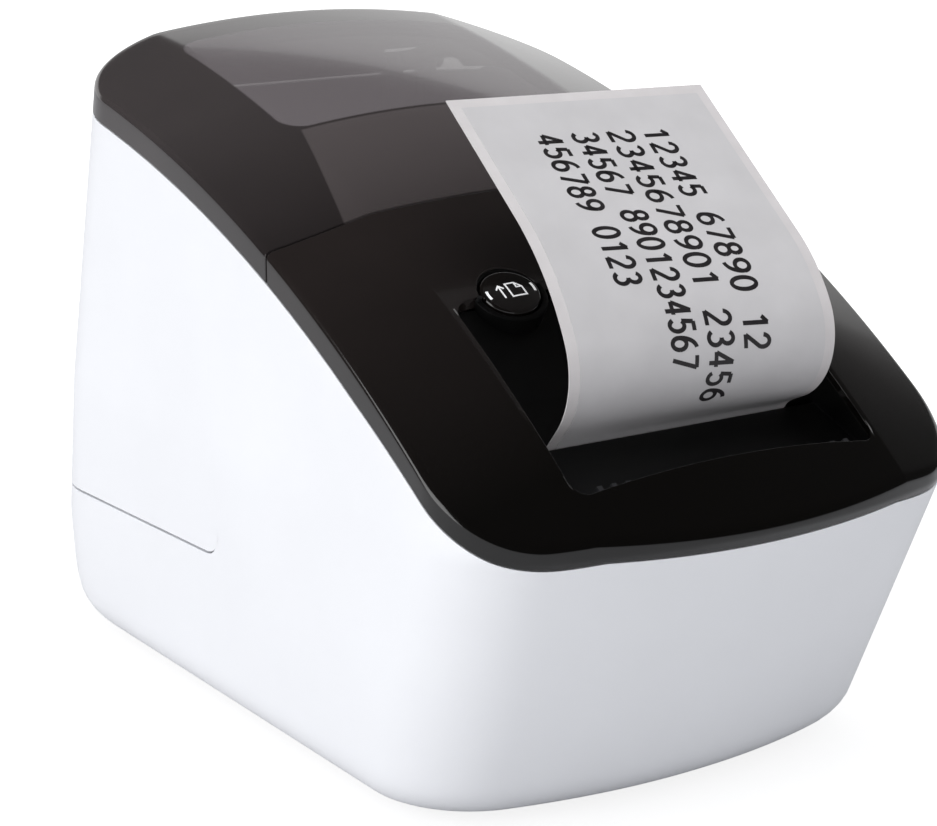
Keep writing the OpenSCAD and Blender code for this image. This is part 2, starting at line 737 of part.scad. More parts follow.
dome_r = 40;
cap_h = 5;
stem_r = 2;
switch_h = 3;
switch_w = 6;
actuator_r = 1.5;
actuator_h = 0.5;
stop_gap = 0.3;
function drop_at(x) = top_z(0, -button_y) - top_z(x, -button_y);
function stem_end(x) = -board_drop + switch_h + actuator_h + stop_gap + button_travel + drop_at(x)
    * cos(button_tilt);
module push_button(x) {
    lean = atan((top_z(x - cut, -button_y) - top_z(x + cut, -button_y)) / (2 * cut) * cos(button_tilt));
    flange_z = -bezel_h - stop_gap - flange_t;
    at_button(x) {
        intersection() {
            translate([0, 0, flange_z]) cylinder(r = button_r, h = bezel_h + cap_h);
            rotate([0, lean, 0]) translate([0, 0, button_proud - dome_r]) sphere(r = dome_r, $fn = 96);
        }
        translate([0, 0, flange_z]) cylinder(r = flange_r, h = flange_t);
        translate([0, 0, stem_end(x)]) cylinder(r = stem_r, h = flange_z + flange_t - stem_end(x));
    }
}
module feed_button() color(black) push_button(button_xs[0]);
module cut_button() color(black) push_button(button_xs[1]);
module power_button() color(black) push_button(button_xs[2]);
module button_board() color(board_green) at_button(0) difference() {
    block([-board_x, board_x], [-board_y, board_y], [-board_drop - board_thick, -board_drop]);
    for (x = button_post_xs) translate([x, button_post_at, -board_drop - board_thick - cut])
        cylinder(r = small_screw_r + run_gap, h = board_thick + 2 * cut);
}
module button_switches() color(dark_plastic)
    for (x = button_xs) at_button(0) translate([x, -drop_at(x) * sin(button_tilt), -board_drop]) {
        translate([-switch_w / 2, -switch_w / 2, 0]) cube([switch_w, switch_w, switch_h]);
        cylinder(r = actuator_r, h = switch_h + actuator_h);
    }
module board_screws() color(steel) at_button(0)
    for (x = button_post_xs) translate([x, button_post_at, -board_drop - board_thick - small_head_h]) {
        cylinder(r = small_head_r, h = small_head_h);
        cylinder(r = small_screw_r, h = small_head_h + board_thick + board_drop / 2 - 2 * cut);
    }

// Label roll, its spool and tray

tray_gap = 2;
tray_t = 2;
tray_x = 40;
tray_front = 17;
tray_step = 3;
deck_z = 98;
deck_t = 2;
deck_x = 58;
deck_rear = 74;
deck_corner_r = 20;
leg_r = 3.5;
leg_x = 47;
leg_ys = [-8, 36];
slot_w = 8.2;
slot_depth = 4.1;
span = roll_at - platen_at;
feed_angle = atan2(-span[1], -span[0]) + acos((unroll_r - wrap_r) / norm(span)) - 90;
under_dir = heading(feed_angle + 90);
leave_at = roll_at + unroll_r * under_dir;
tray_turns = 10;
function tray_arc() =
    let (a1 = feed_angle + 90, a0 = 360, r = roll_r + tray_gap)
    [for (k = [0:tray_turns]) roll_at + r * heading(a0 + (a1 - 360 * floor(a1 / 360) - a0) * k / tray_turns)];
function strip_at(y) = leave_at + heading(feed_angle) * (y - leave_at[0]) / cos(feed_angle);
function tray_floor() = concat(tray_arc(),
    [strip_at(-tray_front) + (tray_gap + run_gap + half_strip) * under_dir]);
module roll_tray() color(dark_plastic) {
    line = tray_floor();
    side_view(2 * tray_x) polygon(band(line, 0, tray_t));
    block([-tray_x, tray_x], [-tray_front, -tray_front + tray_t],
        [strip_at(-tray_front)[1] + tray_step, deck_z]);
    for (side = [-1, 1]) difference() {
        translate([side * (tray_x + tray_t / 2), 0, 0]) side_view(tray_t) polygon(concat(
            offset_line(line, tray_t), [[-tray_front, deck_z + deck_t],
                [deck_rear + tray_x / 5, deck_z + deck_t]]));
        block([side * tray_x - 2 * tray_t, side * tray_x + 2 * tray_t],
            [roll_y - slot_w / 2, roll_y + slot_w / 2],
            [roll_z - slot_depth, tall]);
    }
    difference() {
        translate([0, 0, deck_z]) rounded_box(deck_x, -tray_front, deck_rear, deck_corner_r, deck_t);
        block([-tray_x, tray_x], [-tray_front + tray_t, deck_rear + cut],
            [deck_z - cut, deck_z + 2 * deck_t]);
        for (side = [-1, 1]) block([side * tray_x - guide_x, side * tray_x + guide_x],
            [roll_y - slot_w / 2 - guide_wall - fit_gap, roll_y + slot_w / 2 + guide_wall + fit_gap],
                [deck_z - cut, tall]);
    }
    for (x = [-leg_x, leg_x], y = leg_ys) translate([x, y, floor_z])
        cylinder(r = leg_r, h = deck_z - floor_z + deck_t / 2);
}
guide_wall = 3;
guide_t = 1.6;
guide_x = tray_t + guide_t + fit_gap;
guide_low = 8;
module spool_guides() color(dark_plastic)
    for (side = [-1, 1]) translate([side * (tray_x + tray_t + guide_t / 2), 0, 0]) difference() {
        block([-guide_t / 2, guide_t / 2], [roll_y - slot_w / 2 - guide_wall,
            roll_y + slot_w / 2 + guide_wall],
            [roll_z - guide_low, deck_z + deck_t]);
        block([-guide_t, guide_t], [roll_y - slot_w / 2, roll_y + slot_w / 2], [roll_z - slot_depth, tall]);
    }
spool_flange_t = 2;
spool_flange_r = 30;
spool_flange_gap = 0.3;
spool_hub_l = 12;
spool_hub_wall = 2;
spool_arm_h = 16;
module spool(side) {
    x0 = label_w / 2 + spool_flange_gap;
    hub_r = core_r - core_wall - run_gap;
    mirror([side > 0 ? 0 : 1, 0, 0]) {
        difference() {
            union() {
                rod(spool_flange_r, x0, x0 + spool_flange_t, roll_at);
                rod(hub_r, x0 - spool_hub_l, x0 + spool_flange_t, roll_at);
            }
            rod(hub_r - spool_hub_wall, x0 - spool_hub_l - cut, x0, roll_at);
        }
        block([x0 + spool_flange_t / 2, tray_x + tray_t + guide_t],
            [roll_y - slot_w / 2 + fit_gap / 2, roll_y + slot_w / 2 - fit_gap / 2],
            [roll_z - slot_depth, roll_z - slot_depth + spool_arm_h]);
    }
}
module left_spool() color(dark_plastic) spool(-1);
module right_spool() color(dark_plastic) spool(1);
module roll_core() color([0.6, 0.5, 0.36]) difference() {
    rod(core_r, -label_w / 2, label_w / 2, roll_at);
    rod(core_r - core_wall, -label_w, label_w, roll_at);
}
module label_roll() color(paper_white) difference() {
    rod(roll_r, -label_w / 2, label_w / 2, roll_at);
    rod(core_r, -label_w, label_w, roll_at);
}

// Strip from the roll to the blade, and the part past the blade

blade_gap = 0.05;
strip_end_gap = 0.3;
wrap_steps = 6;
module feed_strip() color(paper_white) {
    a0 = feed_angle + 90;
    a1 = out_angle + 90;
    turn = a0 - a1 - 360 * round((a0 - a1) / 360);
    side_view(label_w) polygon(band(concat([leave_at],
        [for (k = [0:wrap_steps]) platen_at + wrap_r * heading(a0 - turn * k / wrap_steps)],
        [nip_at + (cut_at - strip_end_gap) * exit_dir]), -half_strip, half_strip));
}
bend_l = 3;
lead_ls = [2.53, 3.62];
exit_lift = 1.3;
tight_share = 0.895;
loose_share = 0.675;
tight_rs = [curl_r, curl_r * tight_share];
loose_rs = [loose_curl_r, loose_curl_r * loose_share];
tight_ends = [66, 62.3];
exposed_ls = [exposed_l, exposed_l + exposed_skew];
start_angles = [out_angle + exit_lift, out_angle + exit_lift + curl_twist];
curl_steps = 26;
// Direction of an edge of the strip, left 0 or right 1, at length s past the outlet
function edge_angle(e, s) =
    let (a = start_angles[e], s1 = bend_l + lead_ls[e], b = tight_ends[e],
         s2 = s1 + tight_rs[e] * (a - b) * PI / 180)
    s < bend_l ? out_angle + (a - out_angle) * s / bend_l
    : s < s1 ? a
    : s < s2 ? a - (s - s1) / tight_rs[e] * 180 / PI
    : max(end_angle, b - (s - s2) / loose_rs[e] * 180 / PI);
function edge_line(e, l) =
    let (d = l / curl_steps)
    [for (k = 0, p = mouth_at; k <= curl_steps; p = p + d * heading(edge_angle(e, (k + 1 / 2) * d)),
        k = k + 1) p];
inside_l = mouth_l - cut_at - 2 * blade_t - strip_end_gap;
// Places across the strip, from edge to edge of the label
label_cols = 6;
label_half = label_w / 2 - label_margin;
label_xs = [for (c = [0:label_cols]) label_half * (2 * c / label_cols - 1)];
strip_xs = concat([-label_w / 2], label_xs, [label_w / 2]);
// Line of an edge that starts in the slot and stops short of the free end by m
function edge_from(e, m) =
    let (p = edge_line(e, exposed_ls[e]))
    concat([mouth_at - (inside_l - m) * exit_dir], [for (k = [0:curl_steps - 1]) p[k]],
        [p[curl_steps] - m * heading(end_angle)]);
// Curled sheet through the places xs, between offsets t0 and t1 of the strip's middle
module curled_sheet(xs, t0, t1, m) {
    edges = [for (e = [0, 1]) edge_from(e, m)];
    sides = [for (t = [t0, t1]) [for (e = [0, 1]) offset_line(edges[e], t)]];
    rows = len(edges[0]);
    w = len(xs);
    n = rows * w;
    pts = [for (f = [0, 1], k = [0:rows - 1], x = xs)
        let (u = x / label_w + 1 / 2, p = (1 - u) * sides[f][0][k] + u * sides[f][1][k])
        [x, p[0], p[1]]];
    polyhedron(pts, concat(
        [for (k = [0:rows - 2], c = [0:w - 2], f = [0, 1])
            let (a = k * w + c) f == 0 ? [a, a + 1, a + w] : [a + 1, a + w + 1, a + w]],
        [for (k = [0:rows - 2], c = [0:w - 2], f = [0, 1])
            let (a = n + k * w + c) f == 0 ? [a, a + w, a + 1] : [a + 1, a + w, a + w + 1]],
        [for (k = [0:rows - 2]) let (a = k * w) [a, a + w, a + w + n, a + n]],
        [for (k = [0:rows - 2]) let (a = k * w + w - 1) [a, a + n, a + w + n, a + w]],
        [for (c = [0:w - 2]) [c + 1, c, n + c, n + c + 1]],
        [for (c = [n - w:n - 2]) [c, c + 1, n + c + 1, n + c]]));
}
module label_strip() color(paper_white) curled_sheet(strip_xs, -half_strip, half_strip, 0);
module printed_label() color([0.8, 0.8, 0.8]) curled_sheet(label_xs, half_strip, half_strip + label_t,
    label_margin);

// Steel chassis

plate_x = plate_gap / 2;
plate_xs = [-plate_x - plate_t, plate_x];
plate_front = 92;
plate_rear = 30;
plate_top = 86;
plate_shoulder = 74;
plate_nose = [60, 70];
plate_toe = 58;
bush_r = 4;
bush_flange_r = 5.5;
bush_flange_t = 1;
rod_r = 1.5;
rod_at = [-63.8, 49.9];
bar_r = 2.5;
bar_ats = [[-36, 10], [-34, 52], [-70, 42]];
stud_r = 2.5;
centre_gap = 0.04;
motor_at = [-motor_y, motor_z];
reach_1 = gear_module * (pinion_teeth + idler_teeth) / 2 + centre_gap;
reach_2 = gear_module * (idler_teeth + platen_teeth) / 2 + centre_gap;
idler_at = let (d = platen_at - motor_at, l = norm(d),
    a = (reach_1 * reach_1 - reach_2 * reach_2 + l * l) / (2 * l),
    h = sqrt(reach_1 * reach_1 - a * a)) motor_at + a * d / l + h * [d[1], -d[0]] / l;
motor_shaft_r = 1.5;
motor_boss_r = 5;
module chassis_plate(side) {
    x0 = side > 0 ? plate_x : -plate_x - plate_t;
    difference() {
        translate([x0 + plate_t / 2, 0, 0]) side_view(plate_t) polygon([
            [-plate_toe, floor_z], [-plate_front, plate_nose[0]], [-plate_front, plate_nose[1]],
            [-plate_shoulder, plate_top], [-plate_rear, plate_top], [-plate_rear, floor_z]]);
        rod(bush_r + run_gap, x0 - cut, x0 + plate_t + cut, platen_at);
        rod(rod_r + run_gap, x0 - cut, x0 + plate_t + cut, rod_at);
        for (at = bar_ats) rod(bar_screw_r + run_gap, x0 - cut, x0 + plate_t + cut, at);
        if (side > 0) {
            rod(stud_r / 2 + run_gap, x0 - cut, x0 + plate_t + cut, idler_at);
            rod(motor_boss_r + run_gap, x0 - cut, x0 + plate_t + cut, motor_at);
        }
    }
}
bar_screw_r = 1.2;
bar_screw_l = 0.6;
module chassis_left() color(steel) chassis_plate(-1);
module chassis_right() color(steel) chassis_plate(1);
floor_t = 1.5;
floor_front = 56;
riser_y = 66;
platform_top = 38;
platform_front = 84;
module chassis_floor() color(steel) {
    block([-plate_x, plate_x], [-floor_front, -plate_rear], [floor_z, floor_z + floor_t]);
    side_view(2 * plate_x) polygon(band([[-floor_front, floor_z + floor_t / 2],
        [-riser_y, floor_z + riser_y - floor_front], [-riser_y, platform_top - floor_t / 2],
        [-platform_front, platform_top - floor_t / 2]], -floor_t / 2, floor_t / 2));
}
module tie_bars() color(steel) for (at = bar_ats) {
    rod(bar_r, -plate_x, plate_x, at);
    rod(bar_screw_r, -plate_x - plate_t - bar_screw_l, plate_x + plate_t + bar_screw_l, at);
}

// Gears

pressure = 20;
addendum_share = 0.8;
dedendum_share = 1.2;
tooth_slack = 0.1;
function involute(a) = tan(a) * 180 / PI - a;
function tooth_half(m, n, r) =
    let (p = m * n / 2, b = p * cos(pressure), a = r > b ? acos(b / r) : 0)
    90 / n - tooth_slack / 2 / p * 180 / PI + involute(pressure) - involute(a);
flank_shares = [0, 0.3, 0.55, 0.8, 1];
function gear_radii(m, n) =
    let (r0 = m * n / 2 - dedendum_share * m, r1 = m * n / 2 + addendum_share * m)
    [for (s = flank_shares) r0 + (r1 - r0) * s];
// Gear outline with one tooth at the given angle
function gear_points(m, n, turn) =
    let (rs = gear_radii(m, n), last = len(rs) - 1)
    [for (k = [0:n - 1]) each concat(
        [for (i = [0:last]) rs[i] * heading(turn + 360 * k / n - tooth_half(m, n, rs[i]))],
        [for (i = [last:-1:0]) rs[i] * heading(turn + 360 * k / n + tooth_half(m, n, rs[i]))])];
module gear(m, n, turn, x0, w, at) {
    translate([x0 + w / 2, at[0], at[1]]) side_view(w) polygon(gear_points(m, n, turn));
}
gear_clear = 1;
gear_x = plate_x + plate_t + gear_clear;
// Angle of a tooth that meets a gap of the gear before it
function next_turn(at1, n1, turn1, at2, n2) =
    let (d = at2 - at1, a = atan2(d[1], d[0]), off = turn1 - a)
    a + 180 - off * n1 / n2 + 180 / n2;
idler_turn = next_turn(motor_at, pinion_teeth, 0, idler_at, idler_teeth);
platen_turn = next_turn(idler_at, idler_teeth, idler_turn, platen_at, platen_teeth);
stub = 1;
module platen_gear() color(white) difference() {
    gear(gear_module, platen_teeth, platen_turn, gear_x, gear_w, platen_at);
    rod(shaft_r, plate_x, gear_x + gear_w + cut, platen_at);
}
module idler_gear() color(white) difference() {
    gear(gear_module, idler_teeth, idler_turn, gear_x, gear_w, idler_at);
    rod(stud_r + run_gap, plate_x, gear_x + gear_w + cut, idler_at);
}
module idler_stud() color(steel) {
    rod(stud_r / 2, plate_x, plate_x + plate_t, idler_at);
    rod(stud_r, plate_x + plate_t, gear_x + gear_w + stop_gap, idler_at);
    rod(2 * stud_r, plate_x + plate_t, gear_x - stop_gap, idler_at);
    rod(2 * stud_r, gear_x + gear_w + stop_gap, gear_x + gear_w + stop_gap + stub, idler_at);
}
module motor_pinion() color(steel) {
    gear(gear_module, pinion_teeth, 0, gear_x, gear_w, motor_at);
    rod(motor_shaft_r, plate_x - motor_l / 2, gear_x + gear_w + stub, motor_at);
}
motor_boss_h = 1;
module feed_motor() color([0.3, 0.3, 0.32]) difference() {
    union() {
        rod(motor_d / 2, plate_x - motor_l, plate_x, motor_at);
        rod(motor_boss_r, plate_x - cut, plate_x + motor_boss_h, motor_at);
    }
    rod(motor_shaft_r + run_gap, plate_x - motor_l / 2 - cut, plate_x + 2 * motor_boss_h, motor_at);
}

// Platen

platen_x = 33;
module platen_roller() color([0.1, 0.1, 0.1]) difference() {
    rod(platen_r, -platen_x, platen_x, platen_at);
    rod(shaft_r, -platen_x - cut, platen_x + cut, platen_at);
}
module platen_shaft() color(steel) rod(shaft_r, -plate_x - plate_t - stub, gear_x + gear_w + stub, platen_at);
module platen_bearings() color([0.7, 0.55, 0.3]) for (side = [-1, 1]) mirror([side > 0 ? 0 : 1, 0, 0])
    difference() {
    union() {
        rod(bush_r, plate_x - bush_flange_t, plate_x + plate_t, platen_at);
        rod(bush_flange_r, plate_x - bush_flange_t, plate_x, platen_at);
    }
    rod(shaft_r + run_gap, 0, gear_x, platen_at);
}

// Print head, in the frame of the print line

head_x = 35;
head_t = 1;
head_back = 7;
head_front = 3;
head_gap = half_strip + run_gap;
sink_t = 4;
sink_back = 12;
fin_gap = 2;
fin_count = 9;
fin_depth = 2.5;
bracket_t = 1.5;
bracket_x = 38;
bracket_back = 20;
cheek_back = 13;
cheek_top = 12;
head_face = -head_gap - head_t;
sink_face = head_face - sink_t;
module print_head() color([0.75, 0.72, 0.62]) at_nip()
    block([-head_x, head_x], [head_face, -head_gap], [-head_back, head_front]);
module heat_sink() color([0.7, 0.71, 0.72]) at_nip() difference() {
    block([-head_x, head_x], [sink_face, head_face], [-sink_back, head_front]);
    for (k = [0:fin_count - 1]) translate([(2 * k + 1 - fin_count) * head_x / fin_count, 0, 0])
        block([-fin_gap / 2, fin_gap / 2], [sink_face - cut, sink_face + fin_depth],
            [-sink_back - cut, -sink_back + head_back]);
}
tail_z = 49;
tail_t = 1.5;
tail_front = 84;
tail_rear = 66;
module head_bracket() color(steel) {
    inner_x = bracket_x - bracket_t / 2;
    at_nip() block([-inner_x, inner_x], [sink_face - bracket_t, sink_face], [-bracket_back, head_front]);
    block([-inner_x, inner_x], [-tail_front, -tail_rear], [tail_z, tail_z + tail_t]);
    for (side = [-1, 1]) difference() {
        at_nip() translate([side * inner_x, 0, 0]) block([-bracket_t / 2, bracket_t / 2],
            [-cheek_back, sink_face - bracket_t / 2], [-bracket_back - cut, -cheek_top]);
        rod(rod_r + run_gap, -plate_x, plate_x, rod_at);
    }
}
module head_rod() color(steel) rod(rod_r, -plate_x - plate_t - bar_screw_l,
    plate_x + plate_t + bar_screw_l / 2, rod_at);
spring_r = 3;
spring_wall = 1;
spring_x = 22;
spring_y = 79;
module head_springs() color(steel) for (x = [-spring_x, spring_x])
    translate([x, -spring_y, platform_top]) difference() {
        cylinder(r = spring_r, h = tail_z - platform_top);
        translate([0, 0, -cut]) cylinder(r = spring_r - spring_wall, h = tail_z);
    }

// Cutter, in the frame of the print line

moving_x = 36;
moving_back = 9.5;
moving_edge = 1.2;
rack_x = [-15.5, -11.5];
rack_y = [-24.5, -8];
rack_bar_h = 1;
pinion_y = -17;
pinion_r = rack_module * cut_teeth / 2;
rack_z = cut_at - rack_bar_h - dedendum_share * rack_module;
pinion_h = rack_z - pinion_r - centre_gap;
cut_pitch = rack_module * PI;
rack_teeth = 10;
module moving_blade() color(steel) at_nip() {
    block([-moving_x, moving_x], [-moving_back, -moving_edge], [cut_at, cut_at + blade_t]);
    block([rack_x[0] - cut, rack_x[1] + cut], [rack_y[0], -moving_back + cut], [cut_at, cut_at + blade_t]);
    block(rack_x, rack_y, [cut_at - rack_bar_h, cut_at + blade_t / 2]);
    half = cut_pitch / 4 - tooth_slack / 2;
    lean = tan(pressure) * rack_module;
    for (k = [0:rack_teeth - 1])
        translate([(rack_x[0] + rack_x[1]) / 2, pinion_y + cut_pitch * (k - rack_from), 0])
        side_view(rack_x[1] - rack_x[0]) polygon([
            [-half - lean * dedendum_share, rack_z + rack_module * dedendum_share],
            [-half + lean * addendum_share, rack_z - rack_module * addendum_share],
            [half - lean * addendum_share, rack_z - rack_module * addendum_share],
            [half + lean * dedendum_share, rack_z + rack_module * dedendum_share]]);
}
rack_from = 4;
cut_pinion_at = nip_at - pinion_y * head_dir + pinion_h * exit_dir;
fixed_x = 40;
fixed_y = [0.6, 9];
fixed_z = cut_at + blade_t + blade_gap;
module fixed_blade() color(steel) at_nip()
    block([-fixed_x, fixed_x], fixed_y, [fixed_z, fixed_z + blade_t]);
frame_x1 = 41.9;
frame_x0 = 33.4;
frame_y = [-10, 10];
frame_bar_y = 2;
frame_low = 5.5;
frame_top = 11.1;
module cutter_frame() color([0.32, 0.33, 0.35]) at_nip() difference() {
    union() {
        block([-frame_x1, frame_x1], [frame_bar_y, frame_y[1]], [fixed_z + blade_t, frame_top]);
        for (side = [-1, 1]) block([min(side * frame_x0, side * frame_x1),
            max(side * frame_x0, side * frame_x1)], frame_y, [frame_low, frame_top]);
    }
    block([-moving_x - blade_gap, moving_x + blade_gap], [-tall, cut_stroke + fixed_y[0]],
        [cut_at - blade_gap, fixed_z]);
    block([-fixed_x, fixed_x], [fixed_y[0], fixed_y[1]], [fixed_z - blade_gap, fixed_z + blade_t]);
}
cut_motor_r = 6.5;
cut_motor_x = -17;
cut_shaft_r = 1;
module cutter_motor() color([0.3, 0.3, 0.32]) difference() {
    rod(cut_motor_r, -plate_x, cut_motor_x, cut_pinion_at);
    rod(cut_shaft_r + run_gap, cut_motor_x - cut_motor_r, cut_motor_x + cut, cut_pinion_at);
}
module cutter_pinion() color(steel) {
    w = rack_x[1] - rack_x[0];
    gear(rack_module, cut_teeth, out_angle + 180 / cut_teeth, rack_x[0], w, cut_pinion_at);
    rod(cut_shaft_r, cut_motor_x - cut_motor_r + cut, rack_x[1] + cut, cut_pinion_at);
}

// Label sensor under the strip, seated on a tie bar

sensor_x = 6;
sensor_half = 4;
sensor_gap = 0.5;
sensor_y = -bar_ats[1][0];
module label_sensor() color(dark_plastic) difference() {
    top = strip_at(-sensor_y + sensor_half)[1] - half_strip - sensor_gap;
    block([-sensor_x, sensor_x], [-sensor_y - sensor_half, -sensor_y + sensor_half], [bar_ats[1][1], top]);
    rod(bar_r + run_gap, -2 * sensor_x, 2 * sensor_x, bar_ats[1]);
}

// Electronics in the base

main_x = [-38, -2];
main_y = [-14, 103];
power_x = [2, 38];
power_y = [14, 103];
post_r = 2.6;
post_in = 4;
post_in_rear = 14;
module circuit_board(xs, ys) color(board_green) block(xs, ys, [board_z, board_top]);
module main_board() circuit_board(main_x, main_y);
module power_board() circuit_board(power_x, power_y);
module board_posts() color(white)
    for (b = [[main_x, main_y], [power_x, power_y]],
         x = [b[0][0] + post_in, b[0][1] - post_in], y = [b[1][0] + post_in, b[1][1] - post_in_rear])
        translate([x, y, floor_z]) cylinder(r = post_r, h = post_h);
chip_w = 14;
chip_h = 1.6;
chip_y = 20;
plug_w = 10;
plug_d = 6;
plug_h = 7;
plug_ys = [-10, 2, 42];
can_r = 3;
can_h = 8;
can_ys = [62, 72];
module board_parts() color(dark_plastic) translate([0, 0, board_top]) {
    block([main_x[0] / 2 - chip_w / 2, main_x[0] / 2 + chip_w / 2], [chip_y, chip_y + chip_w], [0, chip_h]);
    for (y = plug_ys) block([main_x[0] + post_in, main_x[0] + post_in + plug_d], [y, y + plug_w],
        [0, plug_h]);
    for (y = can_ys) translate([main_x[0] / 2, y, 0]) cylinder(r = can_r, h = can_h);
}
trafo_x = [8, 32];
trafo_y = [46, 68];
trafo_h = 20;
big_can_r = 8;
big_can_l = 24;
big_can_y = 34;
fin_plate_t = 3;
fin_plate_y = 22;
module power_parts() color([0.2, 0.2, 0.22]) translate([0, 0, board_top]) {
    block(trafo_x, trafo_y, [0, trafo_h]);
    translate([(trafo_x[0] + trafo_x[1]) / 2, big_can_y, 0]) cylinder(r = big_can_r, h = big_can_l);
    block(trafo_x, [fin_plate_y - fin_plate_t, fin_plate_y], [0, trafo_h]);
}
inlet_y = [80, 108.3];
inlet_cavity_w = 20;
inlet_cavity_h = 11;
inlet_cavity_l = 14;
prong_r = 1.2;
prong_gap = 8;
prong_l = 11;
module mains_inlet() color(dark_plastic) {
    mid = [inlet_x, inlet_y[1], board_top + inlet_h / 2];
    difference() {
        block([inlet_x - inlet_w / 2, inlet_x + inlet_w / 2], inlet_y, [board_top, board_top + inlet_h]);
        translate(mid) block([-inlet_cavity_w / 2, inlet_cavity_w / 2], [-inlet_cavity_l, cut],
            [-inlet_cavity_h / 2, inlet_cavity_h / 2]);
    }
    for (side = [-1, 1]) translate(mid + [side * prong_gap / 2, -inlet_cavity_l - cut, 0])
        rotate([-90, 0, 0]) cylinder(r = prong_r, h = prong_l + cut);
}
usb_y = [90, 108.3];
usb_wall = 1.8;
usb_tongue = [5.6, 3.2];
usb_l = 12;
module usb_port() color(steel) {
    mid = [usb_x, usb_y[1], board_top + usb_h / 2];
    difference() {
        block([usb_x - usb_w / 2, usb_x + usb_w / 2], usb_y, [board_top, board_top + usb_h]);
        translate(mid) block([-usb_w / 2 + usb_wall, usb_w / 2 - usb_wall], [-usb_l, cut],
            [-usb_h / 2 + usb_wall, usb_h / 2 - usb_wall]);
    }
    translate(mid) block([-usb_tongue[0] / 2, usb_tongue[0] / 2], [-usb_l - cut, -cut],
        [usb_h / 2 - usb_wall - usb_tongue[1], usb_h / 2 - usb_wall + cut]);
}
// Flat cable from the main board to just short of the print head
cable_w = 16;
cable_t = 0.3;
cable_x = -20;
cable_path = [[-11, board_top + cable_t], [-22, board_top + cable_t], [-50, 20], [-54, 40], [-55.2, 50],
    [-59.5, 56.3]];
module head_cable() color([0.85, 0.8, 0.65])
    translate([cable_x, 0, 0]) side_view(cable_w) polygon(band(cable_path, -cable_t / 2, cable_t / 2));

main_casing();
rear_cover();
base_plate();
feet();
case_screws();
front_panel();
outlet_comb();
light_pipes();
feed_button();
cut_button();
power_button();
button_board();
button_switches();
board_screws();
lid();
lid_frame();
hinge_pins();
roll_tray();
spool_guides();
left_spool();
right_spool();
roll_core();
label_roll();
feed_strip();
label_strip();
printed_label();
chassis_left();
chassis_right();
chassis_floor();
tie_bars();
platen_roller();
platen_shaft();
platen_gear();
platen_bearings();
idler_gear();
idler_stud();
feed_motor();
motor_pinion();
print_head();
heat_sink();
head_bracket();
head_rod();
head_springs();
cutter_frame();
fixed_blade();
moving_blade();
cutter_motor();
cutter_pinion();
label_sensor();
main_board();
board_parts();
board_posts();
power_board();
power_parts();
mains_inlet();
usb_port();
head_cable();
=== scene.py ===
import math

import bmesh
import bpy
import numpy as np
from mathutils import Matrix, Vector


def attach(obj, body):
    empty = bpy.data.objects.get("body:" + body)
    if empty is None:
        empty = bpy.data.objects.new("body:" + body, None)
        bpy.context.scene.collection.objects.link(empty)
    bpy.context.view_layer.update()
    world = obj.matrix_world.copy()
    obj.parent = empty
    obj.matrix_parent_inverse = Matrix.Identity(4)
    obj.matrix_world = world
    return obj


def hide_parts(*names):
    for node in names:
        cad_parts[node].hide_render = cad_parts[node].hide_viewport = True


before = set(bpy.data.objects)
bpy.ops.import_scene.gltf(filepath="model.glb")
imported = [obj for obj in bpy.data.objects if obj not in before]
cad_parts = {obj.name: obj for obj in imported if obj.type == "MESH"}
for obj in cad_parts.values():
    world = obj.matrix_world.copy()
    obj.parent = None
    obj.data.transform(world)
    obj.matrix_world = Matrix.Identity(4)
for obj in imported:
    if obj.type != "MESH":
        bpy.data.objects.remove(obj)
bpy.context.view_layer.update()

# Smooth shells, label, finishes, light and camera for a label printer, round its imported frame

# Sizes, in millimetres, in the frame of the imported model

MM = 0.001
WELD = 0.00137                       # points closer than this are one point
HALF_W = 64.0
HALF_D = 110.5
BODY_H = 153.0
FRONT_RIM_H = 66.0
BASE_Z = 1.2
BASE_OPENING = (48.56, -68.34, 89.6, 22.0)  # half width, front, rear and corner radius
INLET_OPENING = ((10.8, 95, 11.0), (37.2, 130, 28.4))  # two corners of a box through the rear wall
USB_OPENING = ((-30.7, 95, 11.0), (-17.3, 130, 22.9))
SIDE_TAPER = 3.3
FRONT_LEAN = 29.5
REAR_LEAN = 31.9
REAR_LEAN_FROM = 30.0
FRONT_BOW = 14.0
REAR_BOW = 1.6
FRONT_CORNER_R = 23.6
REAR_CORNER_R = 26.1
BOTTOM_R = 9.2
REAR_BOTTOM_R = 16.9
WALL = 2.4
SIDE_SEAM_REAR_Z = 36.5
SIDE_SEAM_RISE = 3.4
SIDE_SEAM_END_Y = 7.5
SIDE_SEAM_R = 7.0
SIDE_SEAM_GAP = 0.6
JOINT_GAP = 0.5                      # between casing and rear cover, at the seam's front end
COVER_STEPS = (-0.25, 0.0, 0.2, 0.4)  # the cover's first columns, behind its own start
COVER_UNDER, COVER_RISE = 0.12, 0.25  # depth of its ends under the casing, and length of the rise
UNDER_BAND, UNDER_REAR_BAND = 0.2, 0.9  # the white edge below the dark band's lower edge
SIDE_CROWN = 7.3
CENTRE_CROWN = 3.0
CREASE_X = 39.5
SKIN = 2.2
SIDE_BAND = 6.6
FRONT_BAND = 4.3
BAND_GROWS = 0.25
LID_SEAM_Y = -20.0
LID_SEAM_BOW = 3.6
LID_GAP = 0.5
EDGE_R = 1.2
SEAM_BEVEL, TOP_BEVEL, LUG_BEVEL, RECESS_BEVEL = 0.12, 0.25, 0.3, 0.2
BEVEL_STEPS = 3
RECESS_HALF = 38.3
RECESS_REAR = -52.0
RECESS_FRONT = -97.0
RECESS_R = 3.5
HINGE_Y, HINGE_Z, HINGE_R = 79.990, 138.0, 2.5
REAR_BAND_Z = HINGE_Z - HINGE_R
KNUCKLE_X, LUG_IN, LUG_W = 33.0, 3.0, 4.0
LUG_DEPTH = 16.0
NOTCH, NOTCH_STEP = (25.6, 40.4), 0.4
